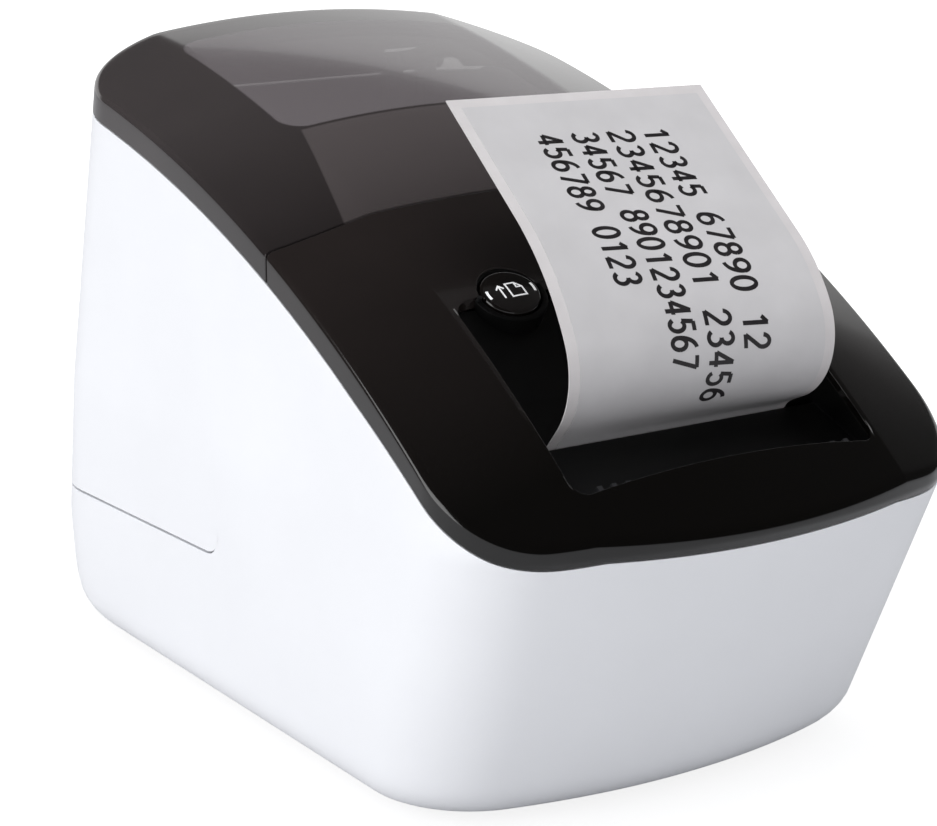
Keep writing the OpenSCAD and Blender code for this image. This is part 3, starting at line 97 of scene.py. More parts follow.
KNUCKLE_CLEAR = 0.8
BARREL_W, BARREL_EDGE = 2.0, 0.3
BUTTON_XS = (-24.5, 0.0, 24.5)
BUTTON_Y = -53.0
BUTTON_R = 6.5
BUTTON_TILT = math.radians(29.676)
WELL_R = 6.85
BEZEL_R = 8.2
MOUTH = np.array([-75.70, 80.18])
OUT_ANGLE = 129.3
EXIT = np.array([math.cos(math.radians(OUT_ANGLE)), math.sin(math.radians(OUT_ANGLE))])


# Plain tools for grids of points

def line(a, b, n):
    """n evenly spread numbers from a to b."""
    return np.linspace(a, b, n)


def spread(x, y, z):
    """Three arrays made one list of points."""
    return np.stack(np.broadcast_arrays(x, y, z), -1).reshape(-1, 3)


def quads(rows, cols):
    """Quads between neighbouring rows and columns of a grid that is stored row by row."""
    i, j = np.arange(rows - 1)[:, None], np.arange(cols - 1)[None, :]
    a = i * cols + j
    return np.stack([a, a + 1, a + cols + 1, a + cols], -1).reshape(-1, 4)


def joined(*parts):
    """Several (layers of points, quads) as one, the quads renumbered."""
    starts = np.cumsum([0] + [len(p[0]) for p in parts[:-1]])
    layers = [np.concatenate([p[k] for p in parts]) for k in range(len(parts[0]) - 1)]
    return (*layers, np.concatenate([p[-1] + s for p, s in zip(parts, starts)]))


def one_point_each(outer, inner, faces):
    """Points of the outer layer that fall together made one, in both layers."""
    _, first, back = np.unique(np.round(outer / WELD).astype(np.int64), axis=0,
                               return_index=True, return_inverse=True)
    return outer[first], inner[first], back.reshape(-1)[faces]


def without_doubles(faces):
    """Quads as lists, those with two corners in one place as triangles and the collapsed ones left out."""
    same = faces == np.roll(faces, -1, axis=1)
    count = same.sum(1)
    one = count == 1
    return faces[count == 0].tolist() + faces[one][~same[one]].reshape(-1, 3).tolist()


def thickened(outer, inner, faces):
    """Closed shell from two layers with the same points: the first layer's faces, the second's turned
    over, and a wall between the layers along each edge that only one face uses."""
    outer, inner, faces = one_point_each(outer, inner, faces)
    ends = np.stack([faces, np.roll(faces, -1, axis=1)], -1).reshape(-1, 2)
    ends = ends[ends[:, 0] != ends[:, 1]]
    _, back, count = np.unique(np.sort(ends, axis=1), axis=0, return_inverse=True, return_counts=True)
    rim = ends[count[back.reshape(-1)] == 1]
    n = len(outer)
    walls = np.stack([rim[:, 1], rim[:, 0], rim[:, 0] + n, rim[:, 1] + n], -1)
    return (np.concatenate([outer, inner]),
            without_doubles(faces) + without_doubles(faces[:, ::-1] + n) + walls.tolist())


def new_mesh(name, points, faces):
    """New mesh from points in millimetres."""
    mesh = bpy.data.meshes.new(name)
    mesh.from_pydata((np.asarray(points, float).reshape(-1, 3) * MM).tolist(), [], faces)
    return mesh


def new_object(name, data):
    """New object with its data, in the scene."""
    made = bpy.data.objects.new(name, data)
    bpy.context.scene.collection.objects.link(made)
    return made


def piece(name, points, faces, material, body, replaces=(), bevel=0.0, sharp=38.0):
    """New piece from points in millimetres. Doubles are merged, faces turned outwards, edges steeper
    than sharp degrees kept crisp or, where bevel is given, rounded by that many millimetres."""
    mesh = new_mesh(name, points, faces if isinstance(faces, list) else without_doubles(faces))
    work = bmesh.new()
    work.from_mesh(mesh)
    bmesh.ops.remove_doubles(work, verts=work.verts, dist=WELD * MM)
    bmesh.ops.recalc_face_normals(work, faces=work.faces)
    work.to_mesh(mesh)
    work.free()
    mesh.shade_smooth()
    mesh.materials.append(material)
    thing = new_object(name, mesh)
    if bevel:
        round_edges = thing.modifiers.new("rounded edges", "BEVEL")
        round_edges.width = bevel * MM
        round_edges.segments = BEVEL_STEPS
        round_edges.limit_method = "ANGLE"
        round_edges.angle_limit = math.radians(sharp)
        round_edges.use_clamp_overlap = False
        round_edges.harden_normals = True
    else:
        mesh.set_sharp_from_angle(angle=math.radians(sharp))
    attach(thing, body)
    if replaces:
        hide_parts(*replaces)
    return thing


def turned(profile, steps=72):
    """Points and quads of a profile of (radius, height) pairs turned once round the Z axis: x is the
    radius times the angle's cosine, y the radius times its sine."""
    a = line(0, 2 * math.pi, steps + 1)[:, None]
    r, z = np.asarray(profile, float).T[:, None]
    return spread(r * np.cos(a), r * np.sin(a), z), quads(steps + 1, len(profile))


BOX_CORNERS = np.array([[x, y, z] for x in (0, 1) for y in (0, 1) for z in (0, 1)])
BOX_FACES = [[0, 1, 3, 2], [4, 6, 7, 5], [0, 4, 5, 1], [2, 3, 7, 6], [0, 2, 6, 4], [1, 5, 7, 3]]


def cut_away(thing, *boxes):
    """Cuts boxes, given as two corners in millimetres, out of a closed piece."""
    tools = []
    for low, high in np.array(boxes, float):
        tool = new_object("cutter", new_mesh("cutter", low + BOX_CORNERS * (high - low), BOX_FACES))
        away = thing.modifiers.new("opening", "BOOLEAN")
        away.object, away.operation, away.solver = tool, "DIFFERENCE", "EXACT"
        thing.modifiers.move(len(thing.modifiers) - 1, 0)
        tools.append(tool)
    bevels = [m for m in thing.modifiers if m.type == "BEVEL"]
    for m in bevels:
        m.show_viewport = False
    bpy.context.view_layer.update()
    cut = bpy.data.meshes.new_from_object(thing.evaluated_get(bpy.context.evaluated_depsgraph_get()))
    for m in [m for m in thing.modifiers if m.type == "BOOLEAN"]:
        thing.modifiers.remove(m)
    for m in bevels:
        m.show_viewport = True
    thing.data = cut
    for tool in tools:
        bpy.data.objects.remove(tool)
    return thing


# Plan outline of the body, as columns that are placed at any height and inset

FRONT_X, FRONT_GAP, FRONT_ARC, SIDE_AHEAD, SIDE_Y, SIDE_BEHIND, REAR_ARC, REAR_GAP, REAR_X = range(9)
FRONT_FIX, REAR_FIX = 44.0, 36.0     # columns of the top up to here keep their place along X
LOW_FRONT_FIX, LOW_REAR_FIX = 24.0, 22.0  # the same for the casing, narrower at its foot


def columns(*parts, mark=0.0, fixed=0.0):
    """Columns of the right half from (kind, values) pairs: kind, value, side of the body, the place
    along Y that SIDE_AHEAD and SIDE_BEHIND run to, and the place along X that the gaps start from."""
    kind = np.concatenate([np.full(len(np.atleast_1d(v)), k) for k, v in parts])
    value = np.concatenate([np.atleast_1d(v) for _, v in parts]).astype(float)
    one = np.ones(len(kind))
    return np.stack([kind, value, one, mark * one, fixed * one])


def mirrored(cols):
    """The same columns on the left side, in reverse order."""
    left = cols[:, ::-1].copy()
    left[2] = -1
    return left


def both_sides(half, middle_first=True):
    """Right half and its mirror image as one run of columns: left end, middle, right end, or with
    middle_first False right end, middle, left end."""
    if middle_first:
        return np.concatenate([mirrored(half)[:, :-1], half], 1)
    return np.concatenate([half[:, :-1], mirrored(half)], 1)


def bottom_round(z, r, t):
    """Inset of the wall t inside a bottom edge of radius r at height z above the base."""
    return np.where(z >= r, t, r - np.sqrt(np.maximum(0, (r - t) ** 2 - (r - np.minimum(z, r)) ** 2)))


def arc_start(xc, r, bow):
    """Angle at which a corner arc round xc leaves a bowed front or rear without a kink: its tangent is
    the bow's own slope there, found by repeating."""
    a = 0.2 + 0 * xc
    for _ in range(8):
        a = np.arctan(2 * bow * (xc + r * np.sin(a)) / HALF_W ** 2)
    return a


def plan(cols, z, t):
    """x and y of the columns at heights z and inset t. The front is a parabola, bowed and leaning out
    with height up to the rim. It runs into a quarter of a circle, a straight side, a second quarter
    and the bowed rear, which leans in with height."""
    kind, value, side, mark, fixed = cols[:, None, :]
    z, t = np.asarray(z, float), np.asarray(t, float)
    low = 1 - np.minimum(1, z / FRONT_RIM_H)
    w = HALF_W - SIDE_TAPER * low - bottom_round(z - BASE_Z, BOTTOM_R, t)
    front = -HALF_D + FRONT_LEAN * low + bottom_round(z - BASE_Z, BOTTOM_R, t)
    rear = (HALF_D - REAR_LEAN * np.maximum(0, z - REAR_LEAN_FROM) / (BODY_H - REAR_LEAN_FROM)
            - bottom_round(z - BASE_Z, REAR_BOTTOM_R, t))
    rf, rr = FRONT_CORNER_R - t, REAR_CORNER_R - t
    bow_f, bow_r = FRONT_BOW / HALF_W ** 2, REAR_BOW / HALF_W ** 2
    af, ar = arc_start(w - rf, rf, FRONT_BOW), arc_start(w - rr, rr, REAR_BOW)
    xf, xr = w - rf + rf * np.sin(af), w - rr + rr * np.sin(ar)
    yf, yr = front + bow_f * xf ** 2 + rf * np.cos(af), rear - bow_r * xr ** 2 - rr * np.cos(ar)
    a = af + (math.pi / 2 - af) * value
    b = ar + (math.pi / 2 - ar) * value
    gap_f, gap_r = fixed + (xf - fixed) * value, fixed + (xr - fixed) * value
    cases = [kind == k for k in range(9)]
    flat = 0 * (w + value)
    x = np.select(cases, [v + flat for v in (value, gap_f, w - rf + rf * np.sin(a), w, w, w,
                                             w - rr + rr * np.sin(b), gap_r, value)])
    y = np.select(cases, [v + flat for v in (
        front + bow_f * value ** 2, front + bow_f * gap_f ** 2, yf - rf * np.cos(a),
        yf + (mark - yf) * value, value, mark + (yr - mark) * value,
        yr + rr * np.cos(b), rear - bow_r * gap_r ** 2, rear - bow_r * value ** 2)])
    return x * side, y


# Crowned top

TOP_RUN = 2 * HALF_D - REAR_LEAN
STEEP = (0.857, 0.424, 0.163)        # slope of the top at its front, middle and rear, in proportion


def steep_sum(s):
    """Sum of the slope from the front to share s: a parabola through the three STEEP values."""
    return (STEEP[0] * (s - 1.5 * s ** 2 + 2 / 3 * s ** 3) + STEEP[1] * (2 * s ** 2 - 4 / 3 * s ** 3)
            + STEEP[2] * (2 / 3 * s ** 3 - s ** 2 / 2))


RIM_FRONT_SHARE = 0.6                # share of the front's bow by which the sides start below the rim
SIDE_FRONT_Z = FRONT_RIM_H - FRONT_BOW * RIM_FRONT_SHARE


def side_top(y):
    """Height of the top's outer edge at y: its rise follows the sum of the slope up to y."""
    rise = BODY_H - SIDE_CROWN - CENTRE_CROWN - SIDE_FRONT_Z
    return SIDE_FRONT_Z + rise * steep_sum((y + HALF_D) / TOP_RUN) / steep_sum(1)


def top_z(x, y):
    """Height of the crowned top: straight slopes from the sides to the creases, a parabola between them."""
    x = np.abs(x)
    crown = np.where(x < CREASE_X, SIDE_CROWN + CENTRE_CROWN * (1 - (x / CREASE_X) ** 2),
                     SIDE_CROWN * (HALF_W - x) / (HALF_W - CREASE_X))
    return side_top(y) + crown


def lid_seam(x):
    """Place along Y of the line between the lid and the front panel."""
    return LID_SEAM_Y - LID_SEAM_BOW * (1 - (x / HALF_W) ** 2)


def rim_table():
    """y and height of the dark band's lower edge: the top's edge less a band that grows to the sides."""
    half = columns((FRONT_X, line(0, FRONT_FIX, 40)), (FRONT_GAP, [0.5]), (FRONT_ARC, line(0, 1, 40)),
                   (SIDE_AHEAD, line(0, 1, 60)[1:]), mark=HALF_D - REAR_LEAN, fixed=FRONT_FIX)
    x, y = plan(half, FRONT_RIM_H, 0)
    x, y = x[0], y[0]
    grown = np.clip((y + HALF_D) / (BAND_GROWS * 2 * HALF_D), 0, 1)
    return y, np.minimum(REAR_BAND_Z, top_z(x, y) - FRONT_BAND - (SIDE_BAND - FRONT_BAND) * grown)


RIM_Y, RIM_Z = rim_table()


def rim(y):
    """Height of the dark band's lower edge at y."""
    return np.interp(y, RIM_Y, RIM_Z)


# First height and number of rounds in the two searches that repeat
SETTLE_FROM, SETTLE_ROUNDS = 90.0, 60
EDGE_FROM, EDGE_ROUNDS = 100.0, 14


def settled(cols, height):
    """Heights z at which each column's own place fits z = height(x, y), found by repeating."""
    z = np.full((1, cols.shape[1]), SETTLE_FROM)
    for _ in range(SETTLE_ROUNDS):
        z = 0.5 * z + 0.5 * height(*plan(cols, z, 0))
    return z


# White casing and rear cover

def rounded_box_edge(x, y, half, y0, y1, r):
    """Closest points of a rounded rectangle's outline to points outside it."""
    qx, qy = np.clip(x, -half + r, half - r), np.clip(y, y0 + r, y1 - r)
    dx, dy = x - qx, y - qy
    d = np.maximum(np.hypot(dx, dy), 1e-9)
    return qx + r * dx / d, qy + r * dy / d


def side_seam(y):
    """Height of the side seam's straight part at y."""
    return SIDE_SEAM_REAR_Z + SIDE_SEAM_RISE * (HALF_D - y) / (HALF_D - SIDE_SEAM_END_Y)


def seam_arc(y, y0, lift):
    """Height of the side seam behind y0: a quarter circle that comes down from y0, then a line."""
    cy = y0 + SIDE_SEAM_R
    cz = side_seam(cy) + SIDE_SEAM_R
    share = np.sqrt(np.maximum(0, 1 - ((cy - np.minimum(y, cy)) / SIDE_SEAM_R) ** 2))
    return np.where(y < cy, cz - (SIDE_SEAM_R - lift) * share, side_seam(y) + lift)


COLUMN_STEP = 0.05                   # least way from the early columns to the next


def casing_columns(y_break, ahead, behind, early=(0.0,)):
    """Columns of the casing's front part and rear part, which meet at y_break on each side. early lists
    the rear part's first columns, as lengths behind y_break. The
    rest are spread as a quarter circle's points."""
    curl = y_break + SIDE_SEAM_R * (1 - np.cos(line(0, math.pi / 2, 12)))
    curl = np.concatenate([y_break + np.array(early), curl[curl > y_break + early[-1] + COLUMN_STEP]])
    front = columns((FRONT_X, line(0, LOW_FRONT_FIX, 12)), (FRONT_GAP, line(0, 1, 12)[1:-1]),
                    (FRONT_ARC, line(0, 1, 22)), (SIDE_AHEAD, line(0, 1, ahead)[1:]),
                    mark=y_break, fixed=LOW_FRONT_FIX)
    rear = columns((SIDE_Y, curl), (SIDE_BEHIND, line(0, 1, behind)[1:-1]), (REAR_ARC, line(1, 0, 22)),
                   (REAR_GAP, line(1, 0, 10)[1:-1]), (REAR_X, line(LOW_REAR_FIX, 0, 10)),
                   mark=curl[-1], fixed=LOW_REAR_FIX)
    return both_sides(front), both_sides(rear, middle_first=False)


def casing_rows(cols, counts, tops, t):
    """Rows of the casing at inset t: the base opening's edge, the round bottom, then straight up to
    each height in tops, in as many rows as counts says. A height in the bottom is t plus
    (R less t) times (1 less the cosine of a)."""
    a = line(0, math.pi / 2, 13)[:, None]
    z = BASE_Z + t + (REAR_BOTTOM_R - t) * (1 - np.cos(a)) + 0 * tops[0]
    levels = [z]
    for top, n in zip(tops, counts):
        levels.append(levels[-1][-1:] + (top - levels[-1][-1:]) * line(0, 1, n)[1:, None])
    z = np.concatenate(levels)
    x, y = plan(cols, z, t)
    edge = rounded_box_edge(*plan(cols, BASE_Z, 0), *BASE_OPENING)
    x, y = np.concatenate([edge[0], x]), np.concatenate([edge[1], y])
    z = np.concatenate([np.full_like(z[:1], BASE_Z + t), z])
    return spread(x, y, z), quads(*z.shape)


def white_rim(x, y):
    """Height of the white casing's upper edge: a little below the dark band."""
    return np.where(y > HINGE_Y - HINGE_R, REAR_BAND_Z - UNDER_REAR_BAND, rim(y) - UNDER_BAND)


def make_casing(material):
    """The white lower shell, full height ahead of the side seam's end and up to the seam behind it."""
    y0 = SIDE_SEAM_END_Y + JOINT_GAP / 2
    front, rear = casing_columns(y0, 30, 24)
    cz = seam_arc(np.array([y0]), y0, 0)[0]
    layers = []
    for t in (0, WALL):
        split = np.full((1, front.shape[1]), cz)
        a = casing_rows(front, (7, 16), (split, settled(front, white_rim)), t)
        b = casing_rows(rear, (7,), (settled(rear, lambda x, y: seam_arc(y, y0, 0)),), t)
        layers.append((a, b))
    (a0, b0), (a1, b1) = layers
    points, faces = thickened(*joined((a0[0], a1[0], a0[1]), (b0[0], b1[0], b0[1])))
    casing = piece("white_casing", points, faces, material, "housing", ("main_casing",),
                   bevel=SEAM_BEVEL)
    return cut_away(casing, INLET_OPENING, USB_OPENING)


def make_rear_cover(material):
    """The white rear cover, from the side seam up to the black lid. Its ends reach a little under the
    casing and rise again behind it, so that no line shows where the two meet."""
    y0 = SIDE_SEAM_END_Y - JOINT_GAP / 2
    _, rear = casing_columns(y0, 30, 30, early=COVER_STEPS)
    ahead = np.clip((y0 + COVER_STEPS[-1] - rear[1]) / COVER_RISE, 0, 1)
    under = COVER_UNDER * ahead * (rear[0] == SIDE_Y)
    low = settled(rear, lambda x, y: seam_arc(y, y0, SIDE_SEAM_GAP))
    high = settled(rear, white_rim)
    z = low + (high - low) * line(0, 1, 26)[:, None]
    outer, inner = (spread(*plan(rear, z, t), z) for t in (under, WALL))
    points, faces = thickened(outer, inner, quads(*z.shape))
    return piece("white_rear_cover", points, faces, material, "housing", ("rear_cover",),
                 bevel=SEAM_BEVEL)


def hinge_lug(x0, x1):
    """One lug: an upright bar whose top is a half circle round the hinge, carried along X."""
    a = line(0, math.pi, 17)
    y = HINGE_Y + HINGE_R * np.concatenate([np.cos(a), [-1, 1]])
    z = HINGE_Z + np.concatenate([HINGE_R * np.sin(a), [-LUG_DEPTH, -LUG_DEPTH]])
    n = len(y)
    points = np.concatenate([spread(x, y, z) for x in (x0, x1)])
    k = np.arange(n)
    sides = np.stack([k, (k + 1) % n, (k + 1) % n + n, k + n], -1)
    return points, sides.tolist() + [k.tolist(), (k[::-1] + n).tolist()]


# Black top: lid and front panel

def under_top(cols, t, drop):
    """Places x, y and z of the columns at inset t that lie drop below the top, found by repeating."""
    z = np.full((len(np.atleast_1d(t)), cols.shape[1]), EDGE_FROM)
    for _ in range(EDGE_ROUNDS):
        x, y = plan(cols, z, t)
        z = top_z(x, y) - drop
    return x, y, z


def skirt(cols, depth, low):
    """Rounded edge and dark band below it, depth inside the outer face: a quarter circle of EDGE_R that
    leaves the top along its slope, then the outline straight down to low."""
    r = max(EDGE_R - depth, 0)
    turn = line(0, math.pi / 2, 8)[:, None]
    x, y, z = under_top(cols, depth + r * (1 - np.sin(turn)), depth + r * (1 - np.cos(turn)))
    down = z[-1:] + (low - z[-1:]) * line(0, 1, 8)[1:, None]
    xd, yd = plan(cols, down, depth)
    z = np.concatenate([z, down])
    return spread(np.concatenate([x, xd]), np.concatenate([y, yd]), z), quads(*z.shape)


def top_edge(cols, depth):
    """Where the top's flat part ends at each column: x and y at the inset of the rounded edge."""
    x, y, _ = under_top(cols, max(EDGE_R, depth), depth)
    return x[0], y[0]


def top_sheet(x, y0, y1, shares, depth):
    """Part of the top between the lines y0 and y1 over the places x, depth below the outer face."""
    s = shares[:, None]
    y = y0 + s * (y1 - y0)
    return spread(x, y, top_z(x, y) - depth), quads(len(shares), len(x))


def lid_low(x, y):
    """Height of the lid's lower edge: the band's edge at the sides, higher round the hinge."""
    ax = np.abs(x)
    knuckle = np.clip(np.minimum(ax - NOTCH[0], NOTCH[1] - ax) / NOTCH_STEP + 1, 0, 1)
    behind = HINGE_Z + knuckle * (HINGE_R + KNUCKLE_CLEAR)
    return np.where(y > HINGE_Y, behind, rim(y))


# Places along X of the lid's columns, with the edges of the hinge notches among them
LID_XS = np.unique(np.round(np.concatenate([
    line(0, 24, 17), [24.6, NOTCH[0] - NOTCH_STEP, NOTCH[0], 27.5, 29, 31, 33, 35, REAR_FIX]]), 6))
LID_ROWS = 60


def lid_layers(depth):
    """One layer of the lid: the sheet from the seam to the rear edge and the skirt round it."""
    rear = both_sides(columns((REAR_ARC, line(1, 0, 26)), (REAR_GAP, [0.65, 0.3]), (REAR_X, LID_XS[::-1]),
                              fixed=REAR_FIX), middle_first=False)
    x, y = top_edge(rear, depth)
    seam = lid_seam(x) + LID_GAP / 2
    shares = line(0, 1, LID_ROWS)
    sheet = top_sheet(x, seam, y, shares, depth)
    side = seam[0] + shares[:-1] * (y[0] - seam[0])
    right = columns((SIDE_Y, side))
    cols = np.concatenate([right, rear, mirrored(right)], 1)
    low = settled(cols, lid_low)
    return joined(sheet, skirt(cols, depth, low))


def shell(layer, thickness):
    """Closed shell between a surface and the same surface at a depth. layer gives either by its depth."""
    (outer, faces), (inner, _) = layer(0), layer(thickness)
    return thickened(outer, inner, faces)


def make_lid(material):
    """The smoked lid as one closed shell."""
    points, faces = shell(lid_layers, SKIN)
    return piece("smoked_cover", points, faces, material, "lid", ("lid",), bevel=TOP_BEVEL)


HOLE_R = 7.0                         # hole in the panel round each button


def hole_rear():
    """Rear edge of the panel's hole from left to right: rounded corners, and an arc round each button."""
    a = line(0, math.pi / 2, 10)
    cx, cy = RECESS_HALF - RECESS_R, RECESS_REAR - RECESS_R
    xs, ys = [-cx - RECESS_R * np.cos(a)], [cy + RECESS_R * np.sin(a)]
    start = math.asin((RECESS_REAR - BUTTON_Y) / HOLE_R)
    b = line(math.pi - start, start, 25)
    left = -cx
    for bx in BUTTON_XS:
        straight = line(left, bx - HOLE_R * math.cos(start), 6)[1:-1]
        xs += [straight, bx + HOLE_R * np.cos(b)]
        ys += [np.full_like(straight, RECESS_REAR), BUTTON_Y + HOLE_R * np.sin(b)]
        left = bx + HOLE_R * math.cos(start)
    straight = line(left, cx, 6)[1:-1]
    xs += [straight, cx + RECESS_R * np.sin(a)]
    ys += [np.full_like(straight, RECESS_REAR), cy + RECESS_R * np.cos(a)]
    return np.concatenate(xs), np.concatenate(ys)


def hole_front():
    """Front edge of the panel's hole from left to right, with its rounded corners."""
    a = line(0, math.pi / 2, 10)
    cx, cy = RECESS_HALF - RECESS_R, RECESS_FRONT + RECESS_R
    straight = line(-cx, cx, 30)[1:-1]
    xs = [-cx - RECESS_R * np.cos(a), straight, cx + RECESS_R * np.sin(a)]
    ys = [cy - RECESS_R * np.sin(a), np.full_like(straight, RECESS_FRONT), cy - RECESS_R * np.cos(a)]
    return np.concatenate(xs), np.concatenate(ys)


# Places along X of the panel's columns beside the recess
PANEL_XS = np.array([RECESS_HALF, 38.8, 39.2, 39.5, 39.8, 40.4, 41.4, 42.6, FRONT_FIX])
PANEL_ROWS = (10, 26, 24)


def panel_layers(depth):
    """One layer of the panel: strips ahead of and behind the hole, a zone on each side, and the skirt."""
    side_half = columns((FRONT_X, PANEL_XS), (FRONT_GAP, [0.35, 0.7]), (FRONT_ARC, line(0, 1, 26)),
                        fixed=FRONT_FIX)
    x, y = top_edge(side_half, depth)
    seam = lid_seam(x) - LID_GAP / 2
    corner_front = y + (RECESS_FRONT + RECESS_R) - y[0]
    corner_rear = np.full_like(y, RECESS_REAR - RECESS_R)
    edges = (y, corner_front, corner_rear, seam)
    runs = [a + (b - a) * line(0, 1, n)[:, None] for a, b, n in zip(edges, edges[1:], PANEL_ROWS)]
    ys = np.concatenate([runs[0], runs[1][1:], runs[2][1:]])
    zone = [(spread(s * x, ys, top_z(x, ys) - depth), quads(*ys.shape)) for s in (1, -1)]
    fx, fy = hole_front()
    middle = columns((FRONT_X, fx))
    ahead = top_sheet(fx, top_edge(middle, depth)[1], fy, line(0, 1, PANEL_ROWS[0]), depth)
    rx, ry = hole_rear()
    behind = top_sheet(rx, ry, lid_seam(rx) - LID_GAP / 2, line(0, 1, PANEL_ROWS[2]), depth)
    right = columns((SIDE_Y, ys[1:, -1]))
    left_half = mirrored(side_half)[:, :-1]
    cols = np.concatenate([mirrored(right), left_half, middle, side_half[:, 1:], right], 1)
    low = settled(cols, lambda px, py: rim(py))
    return joined(*zone, ahead, behind, skirt(cols, depth, low))


def make_panel(material):
    """The black front panel as one closed shell with the hole for the recess and the buttons."""
    points, faces = shell(panel_layers, SKIN)
    return piece("black_panel", points, faces, material, "housing", ("front_panel",),
                 bevel=TOP_BEVEL)


def offset_path(path, d):
    """Path of (y, z) points moved d to its left, each corner along its mitre."""
    step = np.diff(path, axis=0)
    step /= np.linalg.norm(step, axis=1)[:, None]
    a, b = np.vstack([step[:1], step]), np.vstack([step, step[-1:]])
    mean = a + b
    mean /= np.linalg.norm(mean, axis=1)[:, None]
    normal = np.stack([-mean[:, 1], mean[:, 0]], 1)
    return path + d * normal / np.sum(mean * a, axis=1)[:, None]


def softened(path, reach, steps=5):
    """Path whose inner corners are parabolas that start and end reach away from the corner."""
    out = [path[:1]]
    s = line(0, 1, steps)[:, None]
    for p, q, r in zip(path[:-2], path[1:-1], path[2:]):
        a, b = q + (p - q) / np.linalg.norm(p - q) * reach, q + (r - q) / np.linalg.norm(r - q) * reach
        out.append((1 - s) ** 2 * a + 2 * s * (1 - s) * q + s ** 2 * b)
    return np.concatenate(out + [path[-1:]])


RECESS_WALL = 1.6
WALL_UNDER, WALL_LEAST = 1.9, 0.02   # the side walls' upper edge: below the top, and above the floor
RAMP_TOP_UNDER = 1.6                 # depths below the top, and places along Y, of the recess's corners
RAMP_END_Y, RAMP_END_UNDER = -70.5, 6.0
FLOOR_Y, FLOOR_UNDER = -94.5, 7.0
FLOOR_RIM_UNDER = 1.2
CORNER_REACH = 0.8
LIP_REAR = np.array([-75.313, 80.497])
LIP_FRONT = np.array([-76.087, 79.863])
LIP_L = 3.6


def trough(profile):
    """Half of the recess: a profile carried across the recess with a wall up to the panel at each end."""
    def layer(d):
        """The recess's surface, d outside its inner face."""
        p = offset_path(profile, d)
        top = np.maximum(top_z(RECESS_HALF, profile[:, 0]) - WALL_UNDER, profile[:, 1] + WALL_LEAST)
        up = line(1, 0, 6)[:, None]
        half = RECESS_HALF + d
        wall_z = p[:, 1] + (top - p[:, 1]) * up
        wall_y = p[:, 0] + (profile[:, 0] - p[:, 0]) * up
        across = line(-1, 1, 12)[1:-1, None] * half
        x = np.concatenate([0 * wall_z - half, across + 0 * p[:, 0], 0 * wall_z + half])
        y = np.concatenate([wall_y, p[:, 0] + 0 * across, wall_y[::-1]])
        z = np.concatenate([wall_z, p[:, 1] + 0 * across, wall_z[::-1]])
        return spread(x, y, z), quads(*z.shape)
    return shell(layer, RECESS_WALL)


def make_recess(material):
    """The sunken outlet: a ramp down to the slot's rear lip, and a floor from its front lip to the rim."""
    ramp_top = np.array([RECESS_REAR, top_z(CREASE_X, RECESS_REAR) - RAMP_TOP_UNDER])
    ramp_end = np.array([RAMP_END_Y, top_z(CREASE_X, RAMP_END_Y) - RAMP_END_UNDER])
    floor_front = np.array([FLOOR_Y, LIP_FRONT[1] - FLOOR_UNDER])
    rim_point = np.array([RECESS_FRONT, top_z(CREASE_X, RECESS_FRONT) - FLOOR_RIM_UNDER])
    ramp = np.array([ramp_top, ramp_end, LIP_REAR, LIP_REAR - LIP_L * EXIT])
    floor = np.array([LIP_FRONT - LIP_L * EXIT, LIP_FRONT, floor_front, rim_point])
    for name, profile in (("outlet_ramp", ramp), ("outlet_floor", floor)):
        points, faces = trough(softened(profile, CORNER_REACH))
        piece(name, points, faces, material, "housing", (), bevel=RECESS_BEVEL)


# Buttons

def button_lean(x):
    """Slope of the top across a button at x, over a way of 1 mm to each side."""
    return (top_z(x - 1, BUTTON_Y) - top_z(x + 1, BUTTON_Y)) / 2 * math.cos(BUTTON_TILT)


def at_button(points, x):
    """Points of a button's own frame, moved to the button at x: tilted about X to lie in the panel and
    sheared to its slope across."""
    p = points.copy()
    p[:, 2] -= p[:, 0] * button_lean(x)
    c, s = math.cos(BUTTON_TILT), math.sin(BUTTON_TILT)
    y, z = p[:, 1] * c - p[:, 2] * s, p[:, 1] * s + p[:, 2] * c
    return np.stack([p[:, 0] + x, y + BUTTON_Y, z + top_z(x, BUTTON_Y)], -1)


DOME_R, PROUD = 40.0, 0.8
BUTTON_ROUND = 0.7
STEM_R, STEM_END = 2.0, -10.4
FLANGE_R, FLANGE_LOW, FLANGE_TOP = 7.7, -8.3, -7.3


def dome(r):
    """Height of the button's domed face at radius r: a sphere of DOME_R with its top PROUD above 0."""
    return PROUD - DOME_R + np.sqrt(DOME_R ** 2 - r ** 2)


def button_profile(x):
    """Half section of a push button: stem, flange, straight side, rounded edge and dome. The stem ends
    at the same height under every button, however far the crown lowers the one at x."""
    inner = BUTTON_R - BUTTON_ROUND
    edge = dome(inner) - BUTTON_ROUND
    a = line(0, math.pi / 2, 8)
    across = line(inner, 0, 12)[1:]
    stem = STEM_END + (top_z(0, BUTTON_Y) - top_z(x, BUTTON_Y)) * math.cos(BUTTON_TILT)
    r = np.concatenate([[0, STEM_R, STEM_R, FLANGE_R, FLANGE_R, BUTTON_R],
                        inner + BUTTON_ROUND * np.cos(a), across])
    z = np.concatenate([[stem, stem, FLANGE_LOW, FLANGE_LOW, FLANGE_TOP, FLANGE_TOP],
                        edge + BUTTON_ROUND * np.sin(a), dome(across)])
    return np.stack([r, z], -1)


def on_button(flat, height, x):
    """Places on the domed face of the button at x, height above it."""
    return at_button(np.stack([flat[:, 0], flat[:, 1], dome(np.hypot(*flat.T)) + height], -1), x)


def arc(cx, cy, rx, ry, a0, a1, n=14):
    """Points along an ellipse's arc, in degrees."""
    a = np.radians(line(a0, a1, n))
    return np.stack([cx + rx * np.cos(a), cy + ry * np.sin(a)], -1)


def path(*points):
    """Straight path through points."""
    return np.array(points, float)


